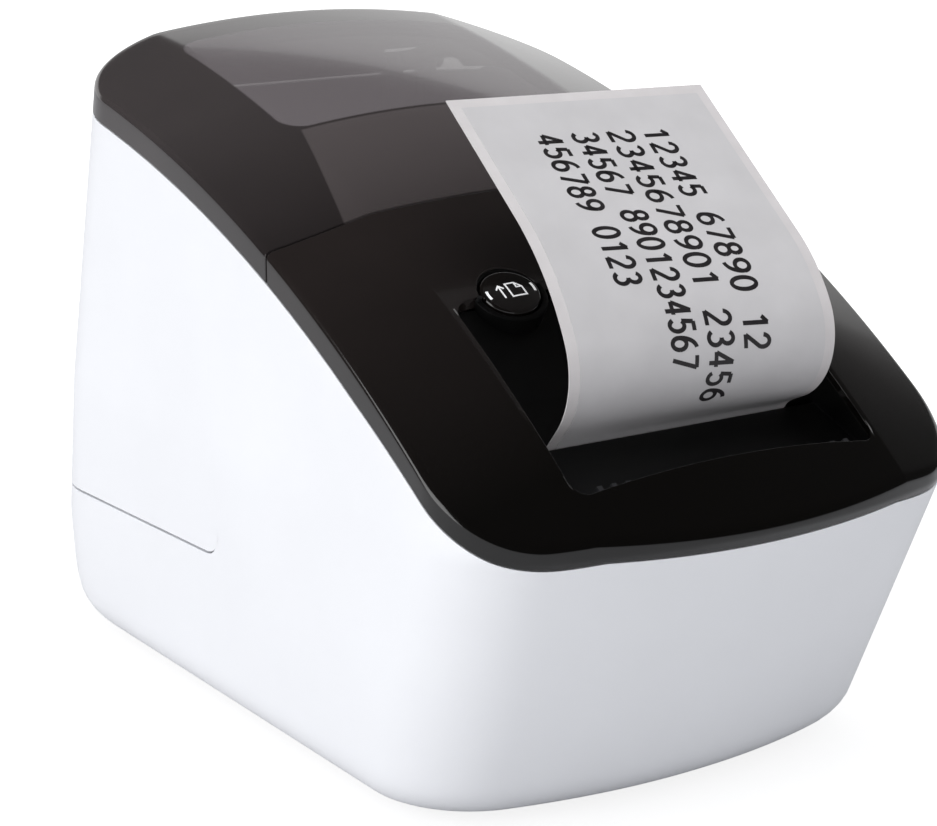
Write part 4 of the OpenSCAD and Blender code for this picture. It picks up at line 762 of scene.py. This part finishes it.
def printed(strokes, width, low, high, place, *at):
    """Strokes as thin raised print: each is a flat ribbon half the width to both sides of its path.
    place maps plane points, a height and what at holds to points in space."""
    parts = []
    for stroke in strokes:
        flat = np.concatenate([offset_path(stroke, width / 2), offset_path(stroke, -width / 2)])
        parts.append((place(flat, high, *at), place(flat, low, *at), quads(2, len(stroke))))
    return thickened(*joined(*parts))


# Label

CURL_STEPS = 150
STRIP_HALF_W, STRIP_HALF_T, LABEL_T, MARGIN = 31.0, 0.15, 0.12, 2.4
EDGE_L = (87.0, 93.0)                # of the strip's left and right edge: length past the slot
BEND_L = 3.0                         # length of the bend out of the slot, the same for both
STARTS = (130.6, 156.6)              # direction after it, in degrees above the Y axis
LEADS = (2.53, 3.62)                 # length that stays straight
TIGHT_R, TIGHT_TO = (17.6, 15.752), (66.0, 62.3)  # radius of the tight curl, and direction at its end
LOOSE_R = (60.0, 40.5)               # radius of the loose curl
END_ANGLE = 38.5                     # direction at which both stay straight
INSIDE_L, NEAR_L = 5.7, 2.0          # places inside the slot, before it
LABEL_FROM = -3.3                    # where the die-cut label starts, inside the slot
PRINT_SUNK, PRINT_PROUD = 0.02, 0.03


def edge_heading(e, s):
    """Direction of one edge of the strip at length s past the slot: straight, a tight curl, a loose curl.
    On a curl it falls by the length over the radius."""
    a, b = STARTS[e], TIGHT_TO[e]
    s1 = BEND_L + LEADS[e]
    s2 = s1 + TIGHT_R[e] * math.radians(a - b)
    bent = OUT_ANGLE + (a - OUT_ANGLE) * s / BEND_L
    tight = a - np.degrees((s - s1) / TIGHT_R[e])
    loose = np.maximum(END_ANGLE, b - np.degrees((s - s2) / LOOSE_R[e]))
    return np.radians(np.select([s < BEND_L, s < s1, s < s2], [bent, a + 0 * s, tight], loose))


def edge_line(e):
    """Points (y, z) of one edge from inside the slot to the free end: its heading summed up."""
    step = EDGE_L[e] / CURL_STEPS
    h = edge_heading(e, (np.arange(CURL_STEPS) + 0.5) * step)
    past = np.cumsum(np.stack([np.cos(h), np.sin(h)], 1) * step, axis=0) + MOUTH
    return np.vstack([MOUTH - INSIDE_L * EXIT, MOUTH - NEAR_L * EXIT, MOUTH, past])


EDGES = [edge_line(e) for e in (0, 1)]
EDGE_S = np.concatenate([[-INSIDE_L, -NEAR_L], line(0, 1, CURL_STEPS + 1) * EDGE_L[0]])


def on_strip(flat, height):
    """Places on the curled strip. flat holds (x, s): x across, and s the length past the slot as on the
    left edge. A point lies on the straight line between the two edges, height in front of the strip."""
    x, s = flat[:, 0], flat[:, 1]
    u = (x / STRIP_HALF_W + 1) / 2
    sides = [offset_path(e, height) for e in EDGES]
    yz = [np.stack([np.interp(s, EDGE_S, e[:, k]) for k in (0, 1)], -1) for e in sides]
    p = yz[0] * (1 - u)[:, None] + yz[1] * u[:, None]
    return np.stack([x, p[:, 0], p[:, 1]], -1)


def strip_layers(x, s, low, high):
    """The strip's part over the places x and s as a closed sheet between two heights."""
    flat = np.stack(np.broadcast_arrays(x[None, :], s[:, None]), -1).reshape(-1, 2)
    return thickened(on_strip(flat, high), on_strip(flat, low), quads(len(s), len(x)))


DIGITS = {
    "0": [arc(.3, .5, .25, .46, 0, 360, 30)],
    "1": [path((.12, .76), (.36, .96)), path((.36, .98), (.36, .02))],
    "2": [arc(.3, .7, .24, .26, 170, -35, 16), path((.5, .56), (.05, .06)), path((.03, .05), (.57, .05))],
    "3": [arc(.28, .73, .22, .22, 150, -90, 16), arc(.28, .27, .26, .24, 90, -150, 18)],
    "4": [path((.43, .02), (.43, .96)), path((.43, .95), (.04, .3)), path((.02, .29), (.59, .29))],
    "5": [path((.53, .94), (.13, .94)), path((.14, .94), (.1, .52)), arc(.29, .32, .25, .27, 135, -150, 20)],
    "6": [arc(.3, .3, .25, .26, 0, 360, 26), arc(.5, .34, .45, .6, 95, 180, 12)],
    "7": [path((.04, .94), (.57, .94)), path((.56, .94), (.22, .02))],
    "8": [arc(.3, .73, .21, .22, 0, 360, 24), arc(.3, .27, .25, .25, 0, 360, 26)],
    "9": [arc(.3, .7, .25, .26, 0, 360, 26), arc(.1, .66, .45, .6, -85, 0, 12)],
}
PRINT_LINES = (                      # digits, place of their foot across the strip, start and end along it
    ("12345 67890 12", 9.3, 76.0, 21.6),
    ("2345678901 23456", 0.9, 76.0, 10.0),
    ("34567 8901234567", -7.6, 76.0, 18.4),
    ("456789 0123", -16.2, 76.0, 36.0),
)
DIGIT_H = 6.1
DIGIT_INSET, DIGIT_W = 0.1, 1.3      # in proportion to the digits' pitch
STROKE_W, STROKE_STEP = 0.9, 0.6


def finer(stroke, most):
    """The path with extra points, so that no step along it is longer than most."""
    at = np.concatenate([[0], np.cumsum(np.linalg.norm(np.diff(stroke, axis=0), axis=1))])
    fine = np.unique(np.concatenate([at, line(0, at[-1], int(at[-1] / most) + 2)]))
    return np.stack([np.interp(fine, at, stroke[:, k]) for k in (0, 1)], -1)


def line_strokes(text, foot, start, end):
    """Strokes of one printed line, running down the strip with the digits' heads to the right."""
    pitch = (start - end) / len(text)
    strokes = []
    for k, c in enumerate(text):
        for stroke in DIGITS.get(c, []):
            s = start - pitch * (k + DIGIT_INSET) - stroke[:, 0] * pitch * DIGIT_W
            strokes.append(finer(np.stack([foot + stroke[:, 1] * DIGIT_H, s], -1), STROKE_STEP))
    return strokes


# Materials: shader groups shared by several finishes, then one material for each finish

def new_group(name, inputs, outputs):
    """Empty shader group with named float inputs and outputs."""
    group = bpy.data.node_groups.new(name, "ShaderNodeTree")
    for label, value in inputs:
        socket = group.interface.new_socket(label, in_out="INPUT", socket_type="NodeSocketFloat")
        socket.default_value = value
    for label in outputs:
        group.interface.new_socket(label, in_out="OUTPUT", socket_type="NodeSocketFloat")
    return group, group.nodes.new("NodeGroupInput"), group.nodes.new("NodeGroupOutput")


def node(tree, kind, settings=(), **links):
    """New node in a tree with settings, and inputs linked to sockets or set to values: by name, or by
    number where the name is i0, i1 and so on."""
    made = tree.nodes.new(kind)
    for key, value in dict(settings).items():
        setattr(made, key, value)
    for key, value in links.items():
        socket = made.inputs[int(key[1:]) if key[1:].isdigit() else key.replace("_", " ")]
        if isinstance(value, bpy.types.NodeSocket):
            tree.links.new(value, socket)
        else:
            socket.default_value = value
    return made


def maths(tree, operation, *values):
    """Output of a Math node on up to three values."""
    return node(tree, "ShaderNodeMath", {"operation": operation},
                **{f"i{k}": v for k, v in enumerate(values)}).outputs[0]


def scaled_place(tree, scales):
    """Object coordinates with a scale on each axis."""
    coords = node(tree, "ShaderNodeTexCoord").outputs["Object"]
    return node(tree, "ShaderNodeMapping", Vector=coords, Scale=scales).outputs[0]


def across_along(tree):
    """Object coordinates along X and along Y, as two values."""
    coords = node(tree, "ShaderNodeTexCoord").outputs["Object"]
    return node(tree, "ShaderNodeSeparateXYZ", Vector=coords).outputs[:2]


def relief_group(name, sizes, stretches, detail, broad_detail):
    """Height is the sum of layers of fine noise, one for each stretch of the axes. Tone is broad noise,
    for slight changes of colour and gloss."""
    group, give, take = new_group(name, zip(("Size", "Broad size"), sizes), ("Height", "Tone"))
    fine = [node(group, "ShaderNodeTexNoise", Vector=scaled_place(group, stretch),
                 Scale=give.outputs["Size"], Detail=detail).outputs[0] for stretch in stretches]
    broad = node(group, "ShaderNodeTexNoise", Vector=node(group, "ShaderNodeTexCoord").outputs["Object"],
                 Scale=give.outputs["Broad size"], Detail=broad_detail)
    height = fine[0] if len(fine) == 1 else maths(group, "ADD", *fine)
    group.links.new(height, take.inputs["Height"])
    group.links.new(broad.outputs[0], take.inputs["Tone"])
    return group


def window_group():
    """Mask of a rounded rectangle seen from above: 1 inside and 0 outside, with a soft edge. The distance
    to it is the length of how far a point lies past the corner's centre, less the corner's radius."""
    sizes = (("Half width", 0.04), ("Front", 0.0), ("Rear", 0.05), ("Corner", 0.005), ("Softness", 0.0004))
    group, give, take = new_group("rounded window", sizes, ("Mask",))
    x, y = across_along(group)
    g = give.outputs
    middle = maths(group, "MULTIPLY", maths(group, "ADD", g["Front"], g["Rear"]), 0.5)
    half = maths(group, "MULTIPLY", maths(group, "SUBTRACT", g["Rear"], g["Front"]), 0.5)
    squares = []
    for place, centre, reach in ((x, 0.0, g["Half width"]), (y, middle, half)):
        d = maths(group, "ABSOLUTE", maths(group, "SUBTRACT", place, centre))
        past = maths(group, "ADD", maths(group, "SUBTRACT", d, reach), g["Corner"])
        past = maths(group, "MAXIMUM", past, 0.0)
        squares.append(maths(group, "MULTIPLY", past, past))
    length = maths(group, "SQRT", maths(group, "ADD", *squares))
    edge = maths(group, "DIVIDE", maths(group, "SUBTRACT", g["Corner"], length), g["Softness"])
    inside = node(group, "ShaderNodeClamp", Value=maths(group, "ADD", edge, 0.5))
    group.links.new(inside.outputs[0], take.inputs["Mask"])
    return group


GROUPS = {
    "grain": relief_group("moulded grain", (2500.0, 30.0), [(1, 1, 1)], 2.0, 3.0),
    "brushed": relief_group("brushed lines", (1800.0, 60.0), [(0.02, 1, 1)], 2.0, 2.0),
    "fibre": relief_group("paper fibres", (900.0, 120.0), [(1, 0.25, 0.25), (0.2, 1, 1)], 3.0, 4.0),
    "window": window_group(),
}


def grouped(tree, name, **values):
    """A shared group placed in a material with its own values."""
    made = tree.nodes.new("ShaderNodeGroup")
    made.node_tree = GROUPS[name]
    for key, value in values.items():
        made.inputs[key.replace("_", " ")].default_value = value
    return made.outputs


MIX_A, MIX_B, MIX_OUT = 6, 7, 2      # numbers of a Mix node's colour sockets


def mixed(tree, share, a, b):
    """Colour between a and b by a share."""
    mix = node(tree, "ShaderNodeMix", {"data_type": "RGBA"}, Factor=share)
    for socket, value in ((mix.inputs[MIX_A], a), (mix.inputs[MIX_B], b)):
        if isinstance(value, bpy.types.NodeSocket):
            tree.links.new(value, socket)
        else:
            socket.default_value = (*value, 1)
    return mix.outputs[MIX_OUT]


def ranged(tree, value, a, b, low=0.0, high=1.0):
    """value between low and high turned into a number between a and b."""
    return node(tree, "ShaderNodeMapRange", Value=value, From_Min=low, From_Max=high,
                To_Min=a, To_Max=b).outputs[0]


def linear(r, g, b):
    """Colour given as it looks on screen, 0 to 255, as the shader's linear values: a straight line for
    the darkest, a power of 2.4 for the rest."""
    c = np.array([r, g, b]) / 255
    return tuple(float(v) for v in np.where(c <= 0.04045, c / 12.92, ((c + 0.055) / 1.055) ** 2.4))


def new_material(name):
    """New material, with its node tree and its Principled shader."""
    made = bpy.data.materials.new(name)
    made.use_nodes = True
    return made, made.node_tree, made.node_tree.nodes["Principled BSDF"]


TONE_RANGE = (0.3, 0.7)              # the noise's values that give the dark and the light tone
BUMP_DEPTH = 0.0001


def finish(name, relief, dark, light, roughness, bump=0.0, sizes=(2500.0, 30.0), **fixed):
    """Principled material: colour and roughness wander between two values by the group's tone, and the
    group's height gives the bump. fixed values go straight to the shader's sockets."""
    made, tree, shader = new_material(name)
    out = grouped(tree, relief, Size=sizes[0], Broad_size=sizes[1])
    tone = ranged(tree, out["Tone"], 0.0, 1.0, *TONE_RANGE)
    tree.links.new(mixed(tree, tone, linear(*dark), linear(*light)), shader.inputs["Base Color"])
    tree.links.new(ranged(tree, tone, *roughness), shader.inputs["Roughness"])
    if bump:
        height = node(tree, "ShaderNodeBump", Height=out["Height"], Strength=bump, Distance=BUMP_DEPTH)
        tree.links.new(height.outputs[0], shader.inputs["Normal"])
    for key, value in fixed.items():
        shader.inputs[key.replace("_", " ")].default_value = value
    return made


FINISH = {
    "white_shell": finish("white satin shell", "grain", (238, 239, 242), (242, 243, 246), (0.36, 0.42), 0.05,
                          (3200.0, 18.0), Specular_IOR_Level=0.4),
    "gloss_black": finish("black gloss", "grain", (13, 10, 9), (17, 13, 11), (0.13, 0.17), 0.01,
                          (400.0, 24.0), Coat_Weight=0.3, Coat_Roughness=0.06),
    # the recess and the bezels: their own black plastic, darkened further as painted shade in the sunken
    # outlet
    "recess_black_and_shade": finish("deep black satin with painted shade", "grain", (5, 5, 5), (8, 8, 8), (0.45, 0.55), 0.06,
                           (2200.0, 40.0), Specular_IOR_Level=0.2),
    "off_light": finish("smoky light guide", "grain", (24, 24, 25), (30, 30, 31), (0.3, 0.4), 0.02),
    "matte_black": finish("black satin", "grain", (22, 21, 22), (30, 29, 30), (0.42, 0.52), 0.12,
                          (2200.0, 40.0)),
    # the button symbols and ticks glow by emission: a painted glow, as they are no lamp
    "clear_light": finish("milky light guide", "grain", (232, 234, 236), (244, 245, 246), (0.2, 0.3), 0.02,
                          Emission_Color=(1, 1, 1, 1), Emission_Strength=0.35),
    "label_paper": finish("coated carrier paper", "fibre", (205, 201, 201), (212, 208, 208), (0.45, 0.55),
                          0.06, (900.0, 160.0)),
    "label_face": finish("thermal label", "fibre", (196, 194, 195), (203, 201, 202), (0.42, 0.5), 0.05,
                         (1100.0, 90.0), Coat_Weight=0.15, Coat_Roughness=0.35),
    "ink": finish("thermal print", "fibre", (34, 31, 33), (44, 41, 43), (0.5, 0.6), 0.05, (1100.0, 300.0)),
    "core_board": finish("wound cardboard", "fibre", (150, 120, 84), (176, 146, 106), (0.75, 0.85), 0.3,
                         (500.0, 90.0)),
    "black_rubber": finish("ground rubber", "grain", (26, 26, 27), (38, 38, 39), (0.7, 0.82), 0.35,
                           (1600.0, 60.0)),
    "sheet_steel": finish("plated sheet", "grain", (168, 170, 174), (186, 188, 192), (0.28, 0.4), 0.06,
                          (900.0, 90.0), Metallic=1.0),
    "turned_steel": finish("turned steel", "brushed", (172, 173, 176), (190, 191, 194), (0.22, 0.32), 0.1,
                           Metallic=1.0),
    "blade_steel": finish("ground blade steel", "brushed", (182, 183, 187), (204, 205, 209), (0.16, 0.26),
                          0.12, Metallic=1.0),
    "cast_frame": finish("coated frame", "grain", (58, 60, 63), (72, 74, 78), (0.4, 0.5), 0.15,
                         (1500.0, 50.0), Metallic=0.3),
    "sink_alloy": finish("extruded alloy", "brushed", (184, 186, 189), (204, 206, 209), (0.3, 0.4), 0.12,
                         Metallic=1.0),
    "bush_brass": finish("sintered brass", "grain", (178, 142, 82), (198, 160, 98), (0.32, 0.44), 0.2,
                         (2600.0, 80.0), Metallic=1.0),
    "head_ceramic": finish("glazed ceramic", "grain", (190, 184, 166), (206, 200, 184), (0.12, 0.2), 0.02),
    "gear_plastic": finish("natural acetal", "grain", (222, 219, 210), (232, 230, 222), (0.35, 0.45), 0.06),
    "board_green": finish("solder mask", "grain", (18, 84, 52), (26, 98, 62), (0.25, 0.4), 0.1,
                          (700.0, 120.0)),
    "component_black": finish("moulded packages", "grain", (34, 34, 36), (46, 46, 48), (0.5, 0.62), 0.2,
                              (1800.0, 70.0)),
    "flex_film": finish("flat cable film", "brushed", (196, 166, 96), (214, 186, 116), (0.25, 0.35), 0.1),
}

# Masks on the lid and the panel, in metres, as the materials read places, among them two of painted shade

WINDOW = {"Half_width": 0.0398, "Front": 0.0125, "Rear": 0.067, "Corner": 0.006, "Softness": 0.0006}
WINDOW_CLEAR, PANE_CLEAR = 0.22, 0.12
PANE_HALF, PANE_HALF_Y, PANE_SLANT = 0.0382, 0.0085, 0.26  # half width, where it holds, growth per length
PANE_REAR = 0.0118
PANE_SOFT_SIDE, PANE_SOFT_REAR = 0.0005, 0.0006
PANE_FADE, PANE_FADE_TO = (-0.024, 0.012), 0.45
# painted shade: the lid darkens towards its front between these places along Y
LID_PAINTED_SHADE = (-0.022, 0.03)           # from darkest to lightest, along Y
# painted shade: the panel darkens towards its front between these places along Y
PANEL_PAINTED_SHADE = (-0.092, -0.03)


def smoked_finish():
    """Smoked lid: near-black gloss that is lighter and partly clear over the window, a little less so
    over the lower pane. The pane's half width grows ahead of PANE_HALF_Y by PANE_SLANT times the way."""
    made, tree, shader = new_material("smoked gloss")
    out = grouped(tree, "grain", Size=300.0, Broad_size=26.0)
    window = grouped(tree, "window", **WINDOW)["Mask"]
    x, y = across_along(tree)
    growth = maths(tree, "MULTIPLY", maths(tree, "SUBTRACT", PANE_HALF_Y, y), PANE_SLANT)
    to_side = maths(tree, "SUBTRACT", maths(tree, "ADD", PANE_HALF, growth), maths(tree, "ABSOLUTE", x))
    to_rear = maths(tree, "SUBTRACT", PANE_REAR, y)
    pane = maths(tree, "MULTIPLY", ranged(tree, to_side, 0.0, 1.0, 0.0, PANE_SOFT_SIDE),
                 ranged(tree, to_rear, 0.0, 1.0, 0.0, PANE_SOFT_REAR))
    pane = maths(tree, "MULTIPLY", pane, ranged(tree, y, PANE_FADE_TO, 1.0, *PANE_FADE))
    tone = ranged(tree, out["Tone"], 0.0, 1.0, *TONE_RANGE)
    colour = mixed(tree, tone, linear(56, 52, 52), linear(62, 57, 57))
    # painted shade: the lid's colour darkens towards its front
    colour = mixed(tree, ranged(tree, y, 1.0, 0.0, *LID_PAINTED_SHADE), colour, linear(34, 30, 30))
    colour = mixed(tree, window, colour, linear(112, 106, 108))
    colour = mixed(tree, pane, colour, linear(84, 78, 78))
    tree.links.new(colour, shader.inputs["Base Color"])
    clear = maths(tree, "MAXIMUM", maths(tree, "MULTIPLY", window, WINDOW_CLEAR),
                  maths(tree, "MULTIPLY", pane, PANE_CLEAR))
    tree.links.new(maths(tree, "SUBTRACT", 1.0, clear), shader.inputs["Alpha"])
    tree.links.new(ranged(tree, tone, 0.12, 0.17), shader.inputs["Roughness"])
    shader.inputs["Coat Weight"].default_value = 0.3
    shader.inputs["Coat Roughness"].default_value = 0.05
    return made


def panel_finish():
    """Black gloss that painted shade deepens towards the panel's front edge."""
    made = finish("panel gloss", "grain", (29, 25, 24), (34, 29, 28), (0.13, 0.17), 0.01, (400.0, 24.0),
                  Coat_Weight=0.3, Coat_Roughness=0.06)
    tree = made.node_tree
    base = tree.nodes["Principled BSDF"].inputs["Base Color"]
    # painted shade, near black at the panel's front edge
    front = ranged(tree, across_along(tree)[1], 1.0, 0.0, *PANEL_PAINTED_SHADE)
    tree.links.new(mixed(tree, front, base.links[0].from_socket, linear(6, 5, 4)), base)
    return made


FINISH["smoked_lid"] = smoked_finish()
FINISH["panel_gloss"] = panel_finish()


# The pieces

make_casing(FINISH["white_shell"])
make_rear_cover(FINISH["white_shell"])
LUG_XS = [side * KNUCKLE_X + end * (LUG_IN + LUG_W / 2) for side in (-1, 1) for end in (-1, 1)]
for k, x in enumerate(LUG_XS):
    points, faces = hinge_lug(x - LUG_W / 2, x + LUG_W / 2)
    piece(f"hinge_lug_{k + 1}", points, faces, FINISH["white_shell"], "housing", (),
          bevel=LUG_BEVEL)
make_lid(FINISH["smoked_lid"])
make_panel(FINISH["panel_gloss"])
make_recess(FINISH["recess_black_and_shade"])

BARRELS = {"middle": (-NOTCH[0], NOTCH[0]), "right": (NOTCH[1], NOTCH[1] + BARREL_W),
           "left": (-NOTCH[1] - BARREL_W, -NOTCH[1])}
for name, (x0, x1) in BARRELS.items():
    r = HINGE_R - BARREL_EDGE
    points, faces = turned([(0, x0), (r, x0), (HINGE_R, x0 + BARREL_EDGE), (HINGE_R, x1 - BARREL_EDGE),
                            (r, x1), (0, x1)], 40)
    points = np.stack([points[:, 2], points[:, 0] + HINGE_Y, points[:, 1] + HINGE_Z], -1)
    piece(f"hinge_barrel_{name}", points, faces, FINISH["smoked_lid"], "lid", ())

KEYS = ("feed", "cut", "power")
TICK_R, TICK_W = 5.4, 0.55
SYMBOL_W, SYMBOL_STEP = 0.36, 0.3
MARK_SUNK, SYMBOL_PROUD, TICK_PROUD = -0.04, 0.03, 0.05
TICKS = [arc(0, 0, TICK_R, TICK_R, 167, 193, 8), arc(0, 0, TICK_R, TICK_R, -13, 13, 8)]
BEZEL_END = -7.0
BEZEL_TOP = ((WELL_R, -0.5), (6.95, -0.36), (7.1, -0.3), (7.9, -0.3), (8.08, -0.36), (BEZEL_R, -0.5))
BEZEL = ((WELL_R, BEZEL_END), *BEZEL_TOP, (BEZEL_R, BEZEL_END), (WELL_R, BEZEL_END))
SYMBOLS = {
    "feed": [path((-2.3, -1.9), (-2.3, 1.9)), path((-3.2, .8), (-2.2, 2.0)), path((-2.4, 2.0), (-1.4, .8)),
             path((-.6, 2.0), (-.6, -1.9), (2.8, -1.9), (2.8, .6), (1.5, 2.0), (-.8, 2.0)),
             path((1.5, 2.0), (1.5, .6), (2.8, .6))],
    "cut": [arc(-1.2, -1.3, .6, .6, 0, 360, 18), arc(1.2, -1.3, .6, .6, 0, 360, 18),
            path((-.85, -.8), (1.3, 2.2)), path((.85, -.8), (-1.3, 2.2))],
    "power": [arc(0, -.2, 1.8, 1.8, 125, 415, 26), path((0, .4), (0, 2.2))],
}
for key, x in zip(KEYS, BUTTON_XS):
    body = f"{key}_key"
    points, faces = turned(button_profile(x))
    piece(f"{key}_key_cap", at_button(points, x), faces, FINISH["gloss_black"], body, (f"{key}_button",))
    strokes = [finer(stroke, SYMBOL_STEP) for stroke in SYMBOLS[key]]
    points, faces = printed(strokes, SYMBOL_W, MARK_SUNK, SYMBOL_PROUD, on_button, x)
    piece(f"{key}_key_symbol", points, faces, FINISH["clear_light"], body, ())
    points, faces = printed(TICKS, TICK_W, MARK_SUNK, TICK_PROUD, on_button, x)
    piece(f"{key}_key_ticks", points, faces, FINISH["clear_light"], body, ())
    points, faces = turned(BEZEL)
    piece(f"{key}_bezel", at_button(points, x), faces, FINISH["recess_black_and_shade"], "housing", ())

edge = STRIP_HALF_W - MARGIN
label_xs = line(-edge, edge, 25)
points, faces = strip_layers(np.concatenate([[-STRIP_HALF_W], label_xs, [STRIP_HALF_W]]), EDGE_S,
                             -STRIP_HALF_T, STRIP_HALF_T)
piece("carrier_strip", points, faces, FINISH["label_paper"], "housing", ("label_strip",))
face = STRIP_HALF_T + LABEL_T
points, faces = strip_layers(label_xs, line(LABEL_FROM, EDGE_L[0] - MARGIN, CURL_STEPS), STRIP_HALF_T, face)
piece("cut_label", points, faces, FINISH["label_face"], "housing", ("printed_label",))
strokes = [s for text in PRINT_LINES for s in line_strokes(*text)]
points, faces = printed(strokes, STROKE_W, face - PRINT_SUNK, face + PRINT_PROUD, on_strip)
piece("label_digits", points, faces, FINISH["ink"], "housing", ())

# Finishes of the CAD nodes that stay

NODE_FINISH = {
    "matte_black": "base_plate lid_frame roll_tray spool_guides left_spool right_spool",
    "black_rubber": "feet platen_roller",
    "turned_steel": "case_screws board_screws hinge_pins tie_bars platen_shaft idler_stud motor_pinion "
                    "head_rod head_springs cutter_pinion",
    "off_light": "light_pipes",
    "board_green": "button_board main_board power_board",
    "component_black": "outlet_comb button_switches board_parts power_parts label_sensor mains_inlet",
    "core_board": "roll_core",
    "label_paper": "label_roll feed_strip",
    "sheet_steel": "chassis_left chassis_right chassis_floor head_bracket usb_port",
    "gear_plastic": "platen_gear idler_gear board_posts",
    "bush_brass": "platen_bearings",
    "cast_frame": "feed_motor cutter_motor cutter_frame",
    "head_ceramic": "print_head",
    "sink_alloy": "heat_sink",
    "blade_steel": "fixed_blade moving_blade",
    "flex_film": "head_cable",
}
for finish_name, names in NODE_FINISH.items():
    for name in names.split():
        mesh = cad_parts[name].data
        mesh.materials.clear()
        mesh.materials.append(FINISH[finish_name])

# Floor, backdrop, light and camera

def floor_finish():
    """Pale floor that keeps the shadow near the printer and turns plain white away from it, smoothly
    between FLOOR_NEAR and FLOOR_FAR metres from the middle."""
    made, tree, shader = new_material("pale floor")
    shader.inputs["Base Color"].default_value = (*FLOOR_TONE, 1)
    shader.inputs["Roughness"].default_value = FLOOR_ROUGHNESS
    place = node(tree, "ShaderNodeTexCoord").outputs["Object"]
    far = node(tree, "ShaderNodeVectorMath", {"operation": "LENGTH"}, i0=place).outputs["Value"]
    far = node(tree, "ShaderNodeMapRange", {"interpolation_type": "SMOOTHSTEP"}, Value=far,
               From_Min=FLOOR_NEAR, From_Max=FLOOR_FAR, To_Min=FLOOR_LIFT, To_Max=1.0).outputs[0]
    seen = node(tree, "ShaderNodeLightPath").outputs["Is Camera Ray"]
    white = node(tree, "ShaderNodeEmission", Color=(1, 1, 1, 1), Strength=FLOOR_GLOW)
    mix = node(tree, "ShaderNodeMixShader", i0=maths(tree, "MULTIPLY", far, seen), i1=shader.outputs[0],
               i2=white.outputs[0])
    tree.links.new(mix.outputs[0], tree.nodes["Material Output"].inputs["Surface"])
    return made


def card_finish():
    """Evenly glowing white card."""
    made, tree, _ = new_material("white card")
    white = node(tree, "ShaderNodeEmission", Color=(1, 1, 1, 1), Strength=CARD_GLOW)
    tree.links.new(white.outputs[0], tree.nodes["Material Output"].inputs["Surface"])
    return made


def stage_sheet(name, corners, material):
    """Flat stage piece from four corners in millimetres."""
    mesh = new_mesh(name, corners, [[0, 1, 2, 3]])
    mesh.materials.append(material)
    thing = new_object(name, mesh)


FLOOR_TONE = (0.62, 0.62, 0.63)
FLOOR_ROUGHNESS = 0.9
FLOOR_NEAR, FLOOR_FAR, FLOOR_LIFT, FLOOR_GLOW = 0.12, 0.34, 0.6, 1.4
CARD_GLOW = 0.9
SKY_DIFFUSE = (0.60, 0.61, 0.63)
SKY_GLOSSY = (0.035, 0.034, 0.034)
EXTENT = 6000
FLOOR = [(-EXTENT, -EXTENT, 0), (EXTENT, -EXTENT, 0), (EXTENT, EXTENT, 0), (-EXTENT, EXTENT, 0)]
BACK_CARD = [(-1500, 3600, 5), (4200, 600, 5), (4200, 600, 1750), (-1500, 3600, 1750)]
stage_sheet("floor", FLOOR, floor_finish())
stage_sheet("back_card", BACK_CARD, card_finish())

world = bpy.data.worlds.new("studio")
bpy.context.scene.world = world
world.use_nodes = True
tree = world.node_tree
background = tree.nodes["Background"]
ray = node(tree, "ShaderNodeLightPath").outputs
sky = mixed(tree, ray["Is Glossy Ray"], SKY_DIFFUSE, SKY_GLOSSY)
tree.links.new(mixed(tree, ray["Is Camera Ray"], sky, (1, 1, 1)), background.inputs["Color"])
background.inputs["Strength"].default_value = 1.0


def lamp(name, place, aim, size, power, in_gloss):
    """Soft rectangular lamp at a place in millimetres, turned towards aim. in_gloss says whether glossy
    surfaces show it."""
    data = bpy.data.lights.new(name, "AREA")
    data.shape = "RECTANGLE"
    data.size, data.size_y = size[0] * MM, size[1] * MM
    data.energy = power
    thing = new_object(name, data)
    thing.location = Vector(place) * MM
    thing.rotation_mode = "QUATERNION"
    thing.rotation_quaternion = (Vector(aim) - Vector(place)).to_track_quat("-Z", "Y")
    thing.visible_glossy = in_gloss


LAMPS = (                            # name, place, aim, width and height, watts, shown by gloss
    ("left softbox", (-1100, 100, 380), (0, 0, 70), (700, 900), 5.9, True),
    ("top softbox", (-100, -200, 1300), (0, 0, 100), (900, 700), 6.5, False),
    ("front fill", (-550, -1150, 420), (0, 0, 60), (500, 500), 1.5, False),
)
for row in LAMPS:
    lamp(*row)

PHOTO_W = 937                        # the frame's width in pixels
SHIFT = (-7.3, 3.1)                  # of the view, in pixels
EYE = (-318.0, -491.8, 220.2)
YAW, PITCH, ROLL = 0.577, 0.258, 0.005
camera = bpy.data.cameras.new("camera")
camera.lens, camera.sensor_width = 100.0, 36.0
camera.shift_x, camera.shift_y = (pixels / PHOTO_W for pixels in SHIFT)
eye = new_object("camera", camera)
eye.location = Vector(EYE) * MM
eye.rotation_mode = "XYZ"
eye.rotation_euler = (math.pi / 2 - PITCH, ROLL, -YAW)
bpy.context.scene.camera = eye
bpy.context.scene.view_settings.view_transform = "Standard"
